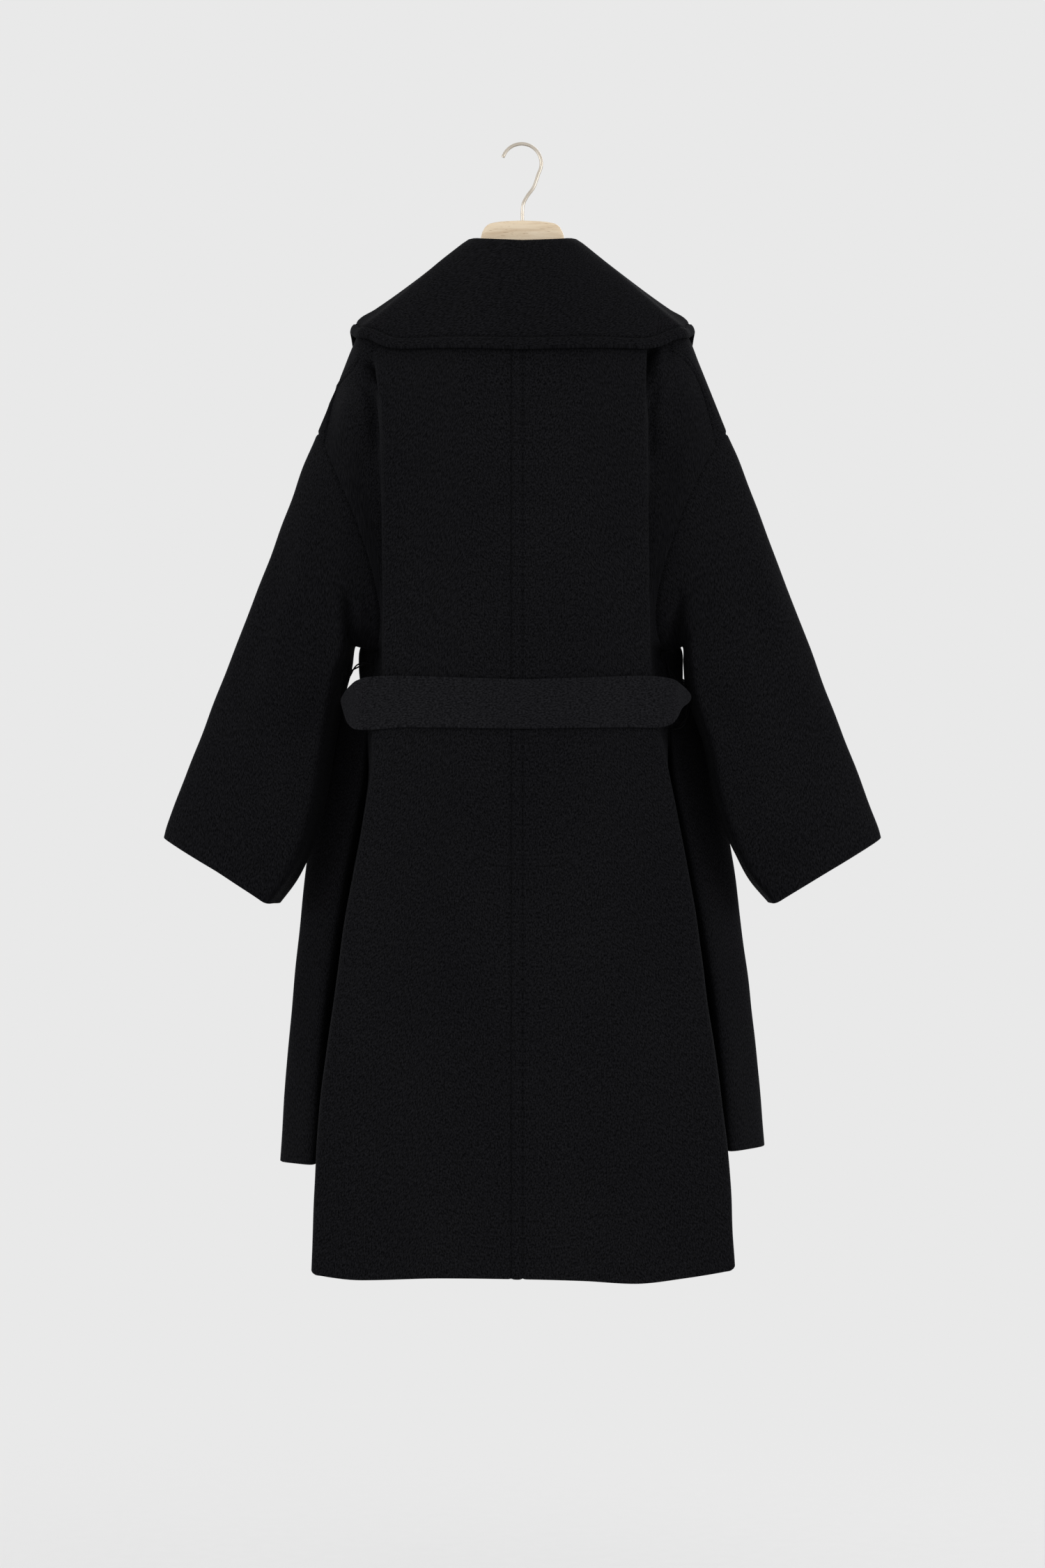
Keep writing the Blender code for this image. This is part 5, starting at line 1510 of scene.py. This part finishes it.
def bar_object(name, bars, material):
    """One object from several bars of rings."""
    points = []
    faces = []
    charts = []
    count = 0
    for rings in bars:
        bar_points, bar_faces, bar_chart = ring_mesh(rings)
        points.append(bar_points)
        faces.append(bar_faces + count)
        charts.append(bar_chart)
        count += len(bar_points)
    return solid_mesh(name, points, faces, charts, material)


def make_belt_loop(side, thread):
    """A loop of two-ply thread from the side seam, over the belt and back to the seam."""
    turn = LOOP_TURN
    clear = LOOP_CLEAR[side]
    belt_x = float(BELT.at(side, turn)) + BELT_WALL / 2
    high_z = float(BELT.at(f"top_{side}", turn))
    low_z = float(BELT.at(f"bottom_{side}", turn))
    y = float(BELT.at("y", turn))

    def seam(z):
        return float(SIDE_SEAM.at(side, z)) + THREAD_ATTACH, float(SIDE_SEAM.at("y", z)), z

    path = [
        seam(LOOP_TOP),
        (belt_x - LOOP_IN_ABOVE, y, LOOP_TOP - LOOP_SAG[side]),
        (belt_x + clear, y, high_z + LOOP_OVER),
        (belt_x + clear, y, (high_z + low_z) / 2),
        (belt_x + clear, y, low_z + LOOP_UNDER),
        (belt_x - LOOP_IN_BELOW, y, LOOP_BOTTOM + LOOP_IN_BELOW),
        seam(LOOP_BOTTOM),
    ]
    middle = mirrored(smooth_path(path, LOOP_STEPS), side)
    one, other = frames_along(middle)
    length = lengths(middle)
    plies = []
    for start in (0.0, math.pi):
        turn = (2 * math.pi * length / TWIST_PITCH + start)[:, None]
        ply = middle + PLY_OFFSET * (np.cos(turn) * one + np.sin(turn) * other)
        plies.append(round_bar(ply, np.full(len(ply), PLY_RADIUS), PLY_SIDES))
    return bar_object(f"belt_loop_thread_{side}", plies, thread)


def make_hanger(wood):
    """The hanger: rounded upright sections from one tip to the other."""
    reach_x = HANGER.column("x")[-1]
    places = reach_x * np.sin(np.linspace(-math.pi / 2, math.pi / 2, HANGER_SECTIONS))
    turn = around(HANGER_SIDES) + math.pi / 2
    rings = []
    for place in places:
        x = abs(place)
        top = HANGER.at("top", x)
        if HANGER_ARM_START < x < HANGER_ARM_END:
            top = RIDGE.at("z", x) - (CLOTH + HANGER_SEAT) * HANGER_ARM_SLOPE
        bottom = HANGER.at("bottom", x)
        y = HANGER.at("half", x) * squared(np.cos(turn), HANGER_SQUARE)
        z = (top + bottom) / 2 + (top - bottom) / 2 * squared(np.sin(turn), HANGER_SQUARE)
        rings.append(np.stack([np.full(len(turn), place), y, z], axis=-1))
    return bar_object("hanger_wood", [np.array(rings)], wood)


def make_hook(metal):
    """The wire hook: a stem, a sway to one side and a bend over the rail, with an eased end."""
    centre_z = -HOOK_RADIUS + WIRE_RADIUS
    path = [(0.0, 0.0, HANGER_CREST - SEAM_LAP)]
    path += [(x, 0.0, HOOK_STEM_TOP + rise) for x, rise in HOOK_SWAY]
    for turn in np.linspace(HOOK_START_TURN, HOOK_END_TURN, HOOK_BEND_POINTS):
        x = HOOK_CENTRE_X + HOOK_RADIUS * math.cos(turn)
        path.append((x, 0.0, centre_z + HOOK_RADIUS * math.sin(turn)))
    wire = smooth_path(path, HOOK_STEPS)
    radii = np.full(len(wire), WIRE_RADIUS)
    radii[-len(HOOK_TIP) :] *= HOOK_TIP
    return bar_object("hook_wire", [round_bar(wire, radii, HOOK_SIDES)], metal)


# Stitches

STITCH_PITCH = 0.0042
STITCH_LENGTH = 0.0031
STITCH_WIDTH = 0.0008
STITCH_UNEVEN = (0.86, 1.08)
BALL = {"Segments": 8, "Rings": 5, "Radius": 0.5}


def connect(tree, node, given):
    """Sets a node's inputs to the values given, or links them to the outputs given."""
    for name, value in given.items():
        if isinstance(value, bpy.types.NodeSocket):
            tree.links.new(value, node.inputs[name])
        else:
            node.inputs[name].default_value = value


def add_node(tree, kind, given=None, **settings):
    made = tree.nodes.new(kind)
    for key, value in settings.items():
        setattr(made, key, value)
    connect(tree, made, given or {})
    return made


def stitch_tree():
    """A row of stitches along a line: named sizes, a fixed seed, one small rounded stitch repeated."""
    tree = bpy.data.node_groups.new("stitch row", "GeometryNodeTree")
    sizes = [(name, "Float") for name in ("Pitch", "Stitch length", "Stitch width")]
    for name, kind in (("Geometry", "Geometry"), *sizes, ("Seed", "Int"), ("Thread", "Material")):
        tree.interface.new_socket(name, in_out="INPUT", socket_type=f"NodeSocket{kind}")
    tree.interface.new_socket("Geometry", in_out="OUTPUT", socket_type="NodeSocketGeometry")

    def node(kind, out, given=None, **settings):
        return add_node(tree, kind, given, **settings).outputs[out]

    given = add_node(tree, "NodeGroupInput").outputs
    line = node("GeometryNodeMeshToCurve", "Curve", {"Mesh": given["Geometry"]})
    spots = {"Curve": line, "Length": given["Pitch"]}
    spots = node("GeometryNodeResampleCurve", "Curve", spots, mode="LENGTH")
    way = {"Vector": node("GeometryNodeInputTangent", "Tangent")}
    way = node("FunctionNodeAlignRotationToVector", "Rotation", way, axis="X")
    ball = node("GeometryNodeMeshUVSphere", "Mesh", BALL)
    uneven = {2: STITCH_UNEVEN[0], 3: STITCH_UNEVEN[1], "Seed": given["Seed"]}
    uneven = node("FunctionNodeRandomValue", 1, uneven, data_type="FLOAT")
    length = {0: given["Stitch length"], 1: uneven}
    length = node("ShaderNodeMath", "Value", length, operation="MULTIPLY")
    size = {"X": length, "Y": given["Stitch width"], "Z": given["Stitch width"]}
    size = node("ShaderNodeCombineXYZ", "Vector", size)
    row = {"Points": spots, "Instance": ball, "Rotation": way, "Scale": size}
    row = node("GeometryNodeInstanceOnPoints", "Instances", row)
    for kind in ("GeometryNodeRealizeInstances", "GeometryNodeSetShadeSmooth"):
        row = node(kind, "Geometry", {"Geometry": row})
    row = node("GeometryNodeSetMaterial", "Geometry", {"Geometry": row, "Material": given["Thread"]})
    add_node(tree, "NodeGroupOutput", {"Geometry": row})
    return tree


def make_stitches(name, lines, tree, seed, thread):
    """Rows of stitches along lines on the cloth, as one plain mesh."""
    points = np.concatenate(lines)
    edges = []
    count = 0
    for line in lines:
        edges += [(count + k, count + k + 1) for k in range(len(line) - 1)]
        count += len(line)
    guide = bpy.data.meshes.new(f"{name}_line")
    guide.from_pydata(points.tolist(), edges, [])
    maker = add_object(f"{name}_line", guide)
    row = maker.modifiers.new("stitches", "NODES")
    row.node_group = tree
    sizes = {
        "Pitch": STITCH_PITCH,
        "Stitch length": STITCH_LENGTH,
        "Stitch width": STITCH_WIDTH,
        "Seed": seed,
        "Thread": thread,
    }
    for socket in tree.interface.items_tree:
        if socket.in_out == "INPUT" and socket.name in sizes:
            row[socket.identifier] = sizes[socket.name]
    shown = maker.evaluated_get(bpy.context.evaluated_depsgraph_get())
    mesh = bpy.data.meshes.new_from_object(shown)
    mesh.name = name
    maker.modifiers.remove(row)
    bpy.data.objects.remove(maker)
    bpy.data.meshes.remove(guide)
    return add_object(name, mesh)


# Finishes


class Finish:
    """A material under construction: its nodes, its links and its shader."""

    def __init__(self, name):
        self.material = bpy.data.materials.new(name)
        self.material.use_nodes = True
        self.tree = self.material.node_tree
        self.shader = self.tree.nodes["Principled BSDF"]
        self.place = add_node(self.tree, "ShaderNodeTexCoord")

    def node(self, kind, out, given=None, **settings):
        return add_node(self.tree, kind, given, **settings).outputs[out]

    def give(self, **given):
        """Sets or links the shader's inputs."""
        connect(self.tree, self.shader, {name.replace("_", " "): value for name, value in given.items()})

    def mapped(self, coordinate, scale):
        given = {"Scale": scale, "Vector": self.place.outputs[coordinate]}
        return self.node("ShaderNodeMapping", "Vector", given)

    def noise(self, vector, scale, detail=2.0, roughness=0.5, distortion=0.0):
        given = {"Scale": scale, "Detail": detail, "Roughness": roughness, "Distortion": distortion}
        return self.node("ShaderNodeTexNoise", "Fac", {**given, "Vector": vector})

    def sum(self, one, two, share):
        """one plus a share of two."""
        return self.node("ShaderNodeMath", "Value", {0: two, 1: share, 2: one}, operation="MULTIPLY_ADD")

    def ramp(self, value, *stops):
        made = add_node(self.tree, "ShaderNodeValToRGB", {"Fac": value})
        band = made.color_ramp
        while len(band.elements) < len(stops):
            band.elements.new(0.5)
        for element, (place, colour) in zip(band.elements, stops):
            element.position = place
            element.color = (*colour, 1.0)
        return made.outputs["Color"]

    def times(self, one, two):
        given = {"Factor": 1.0, "A": one, "B": two}
        made = add_node(self.tree, "ShaderNodeMix", given, data_type="RGBA", blend_type="MULTIPLY")
        return next(socket for socket in made.outputs if socket.type == "RGBA")

    def range(self, value, low, high):
        given = {"To Min": low, "To Max": high, "Value": value}
        return self.node("ShaderNodeMapRange", "Result", given)

    def bump(self, height, distance, strength=1.0):
        given = {"Strength": strength, "Distance": distance, "Height": height}
        self.give(Normal=self.node("ShaderNodeBump", "Normal", given))


def wool_finish(name, dark, light, sheen):
    """Felted wool: a fine grain of tangled fibres that lie down the cloth, and soft wide patches."""
    made = Finish(name)
    grain = made.noise(made.mapped("UV", (1.0, 0.62, 1.0)), 620, 3.0, 0.62)
    fibres = made.noise(made.mapped("UV", (1.0, 0.16, 1.0)), 900, 2.0, 0.5, 0.6)
    patches = made.noise(made.mapped("Object", (1.0, 1.0, 0.6)), 8, 2.5, 0.55)
    mixed = made.sum(grain, fibres, 0.35)
    tone = made.ramp(mixed, (0.545, dark), (0.835, light))
    shade = made.ramp(patches, (0.30, (0.86, 0.86, 0.88)), (0.70, (1.0, 1.0, 1.0)))
    made.give(Base_Color=made.times(tone, shade), Roughness=made.range(grain, 0.86, 1.0))
    made.bump(mixed, 0.0006, 0.6)
    made.give(Specular_IOR_Level=0.015, Sheen_Weight=sheen, Sheen_Roughness=0.5)
    made.give(Sheen_Tint=(0.86, 0.88, 0.95, 1.0))
    return made.material


def thread_finish():
    made = Finish("black thread")
    twist = made.noise(made.mapped("Object", (1.0, 1.0, 1.0)), 1800, 2.0)
    tone = made.ramp(twist, (0.3, (0.003, 0.003, 0.0034)), (0.7, (0.009, 0.009, 0.010)))
    made.give(Base_Color=tone, Roughness=made.range(twist, 0.55, 0.75), Specular_IOR_Level=0.03)
    made.bump(twist, 0.0002, 0.5)
    return made.material


def beech_finish():
    """Pale beech with a straight grain along the hanger, short flecks and a clear satin lacquer."""
    made = Finish("pale beech")
    rings = made.noise(made.mapped("Object", (5.0, 60.0, 60.0)), 2.6, 4.0, 0.55, 0.5)
    flecks = made.noise(made.mapped("Object", (55.0, 420.0, 420.0)), 2.2, 1.0)
    bands = ((0.30, (0.62, 0.47, 0.31)), (0.55, (0.77, 0.63, 0.45)), (0.75, (0.82, 0.70, 0.53)))
    grain = made.ramp(rings, *bands)
    spots = made.ramp(flecks, (0.26, (0.72, 0.66, 0.60)), (0.34, (1.0, 1.0, 1.0)))
    made.give(Base_Color=made.times(grain, spots), Roughness=made.range(rings, 0.36, 0.50))
    made.bump(made.sum(rings, flecks, 0.3), 0.0003, 0.35)
    made.give(Coat_Weight=0.25, Coat_Roughness=0.22)
    return made.material


def wire_finish():
    """Satin nickel wire, with fine draw marks along it."""
    made = Finish("satin nickel")
    marks = made.noise(made.mapped("UV", (2600.0, 40.0, 1.0)), 1.0, 2.0)
    wear = made.noise(made.mapped("Object", (1.0, 1.0, 1.0)), 60, 2.0)
    tone = made.ramp(wear, (0.35, (0.56, 0.50, 0.42)), (0.65, (0.68, 0.62, 0.54)))
    rough = made.range(made.sum(marks, wear, 0.3), 0.22, 0.40)
    made.give(Base_Color=tone, Roughness=rough, Metallic=1.0)
    made.bump(marks, 0.0001, 0.25)
    return made.material


def paper_finish():
    """Pale floor paper that fades, away from the coat, into the pale air of the studio."""
    made = Finish("pale studio paper")
    tooth = made.noise(made.mapped("Object", (1.0, 1.0, 1.0)), 40, 2.0)
    tone = made.ramp(tooth, (0.0, (0.78, 0.78, 0.78)), (1.0, (0.81, 0.81, 0.81)))
    made.give(Base_Color=tone, Roughness=0.95, Specular_IOR_Level=0.1)
    far = {0: made.mapped("Object", (1.0, 1.0, 0.0))}
    far = made.node("ShaderNodeVectorMath", "Value", far, operation="LENGTH")
    fade = {"From Min": PAPER_FADE[0], "From Max": PAPER_FADE[1], "Value": far}
    fade = made.node("ShaderNodeMapRange", "Result", fade, interpolation_type="SMOOTHSTEP")
    air = made.node("ShaderNodeEmission", "Emission", {"Color": (*AIR, 1.0), "Strength": AIR_STRENGTH})
    blend = {"Fac": fade, 1: made.shader.outputs["BSDF"], 2: air}
    blend = made.node("ShaderNodeMixShader", "Shader", blend)
    connect(made.tree, made.tree.nodes["Material Output"], {"Surface": blend})
    return made.material


# The studio

FLOOR_HEIGHT = -1.75
FLOOR_RADIUS = 2.6
FLOOR_SIDES = 96
PAPER_FADE = (0.35, 1.90)
AIR = (1.0, 1.0, 1.0)
AIR_STRENGTH = 0.815
CAMERA_PLACE = (0.0, -4.229, -0.7292)
CAMERA_LENS = 85.0
CAMERA_SENSOR = 36.0
LIGHT_AIM = (0.0, 0.0, -0.7)
LIGHTS = (
    ("key light", (3.2, -2.3, 0.1), 2.2, 42.0),
    ("fill light", (-3.2, -2.1, 0.0), 2.4, 36.0),
    ("far light", (1.4, 3.4, 1.5), 2.4, 34.0),
)


def make_stage():
    """A pale round floor."""
    points = []
    for turn in around(FLOOR_SIDES):
        points.append((FLOOR_RADIUS * math.cos(turn), FLOOR_RADIUS * math.sin(turn), FLOOR_HEIGHT))
    mesh = bpy.data.meshes.new("studio_floor")
    mesh.from_pydata(points, [], [tuple(range(FLOOR_SIDES))])
    mesh.materials.append(paper_finish())
    add_object("studio_floor", mesh)


def make_light(name, place, size, power):
    data = bpy.data.lights.new(name, "AREA")
    data.shape = "DISK"
    data.size = size
    data.energy = power
    made = add_object(name, data)
    made.location = place
    aim = np.array(LIGHT_AIM) - np.array(place)
    flat = math.hypot(aim[0], aim[1])
    made.rotation_euler = (math.atan2(flat, -aim[2]), 0.0, math.atan2(aim[1], aim[0]) - math.pi / 2)


def make_studio():
    make_stage()
    for light in LIGHTS:
        make_light(*light)
    world = bpy.data.worlds.new("studio air")
    world.use_nodes = True
    air = {"Color": (*AIR, 1.0), "Strength": AIR_STRENGTH}
    connect(world.node_tree, world.node_tree.nodes["Background"], air)
    bpy.context.scene.world = world
    bpy.context.scene.view_settings.view_transform = "Standard"
    data = bpy.data.cameras.new("camera")
    data.lens = CAMERA_LENS
    data.sensor_width = CAMERA_SENSOR
    made = add_object("camera", data)
    made.location = CAMERA_PLACE
    made.rotation_euler = (math.pi / 2, 0.0, 0.0)
    bpy.context.scene.camera = made


def place(piece, slot, *nodes):
    """Puts a finished piece on the body, in the place of its solid."""
    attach(piece, "root")
    if nodes:
        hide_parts(*nodes)


def main():
    make_studio()
    wool = wool_finish("black melton wool", (0.0018, 0.0018, 0.0021), (0.0104, 0.0104, 0.0118), 0.014)
    # The belt gets a lighter copy of the coat's wool: painted light, for the extra light the belt
    # catches where it stands proud of the coat.
    belt_wool = wool_finish("black wool painted lighter for the belt", (0.0034, 0.0034, 0.0040), (0.0146, 0.0146, 0.0164), 0.020)
    thread = thread_finish()
    beech = beech_finish()
    nickel = wire_finish()
    tree = stitch_tree()
    makers = {"back": make_back, "front": make_front, "sleeve": make_sleeve}
    seed = 1
    for kind, maker in makers.items():
        for side in SIDES:
            piece, lines = maker(side, wool)
            place(piece, "wool", f"{kind}_{side}")
            if lines:
                stitches = make_stitches(f"stitches_{kind}_{side}", lines, tree, seed, thread)
                place(stitches, "thread")
            seed += 1
    collar, lines = make_collar(wool)
    place(collar, "wool", "collar")
    stitches = make_stitches("stitches_collar", lines, tree, seed, thread)
    place(stitches, "thread")
    belt = make_belt(belt_wool)
    place(belt, "belt_wool", "belt")
    place(make_knot(belt_wool), "belt_wool", "belt_knot")
    for side in SIDES:
        tail = make_tail(side, belt_wool)
        place(tail, "belt_wool", f"belt_end_{side}")
        loop = make_belt_loop(side, thread)
        place(loop, "thread", f"belt_loop_{side}")
    place(make_hanger(beech), "hanger_wood", "hanger")
    place(make_hook(nickel), "hook_metal", "hanger_hook")
    bpy.data.node_groups.remove(tree)


main()
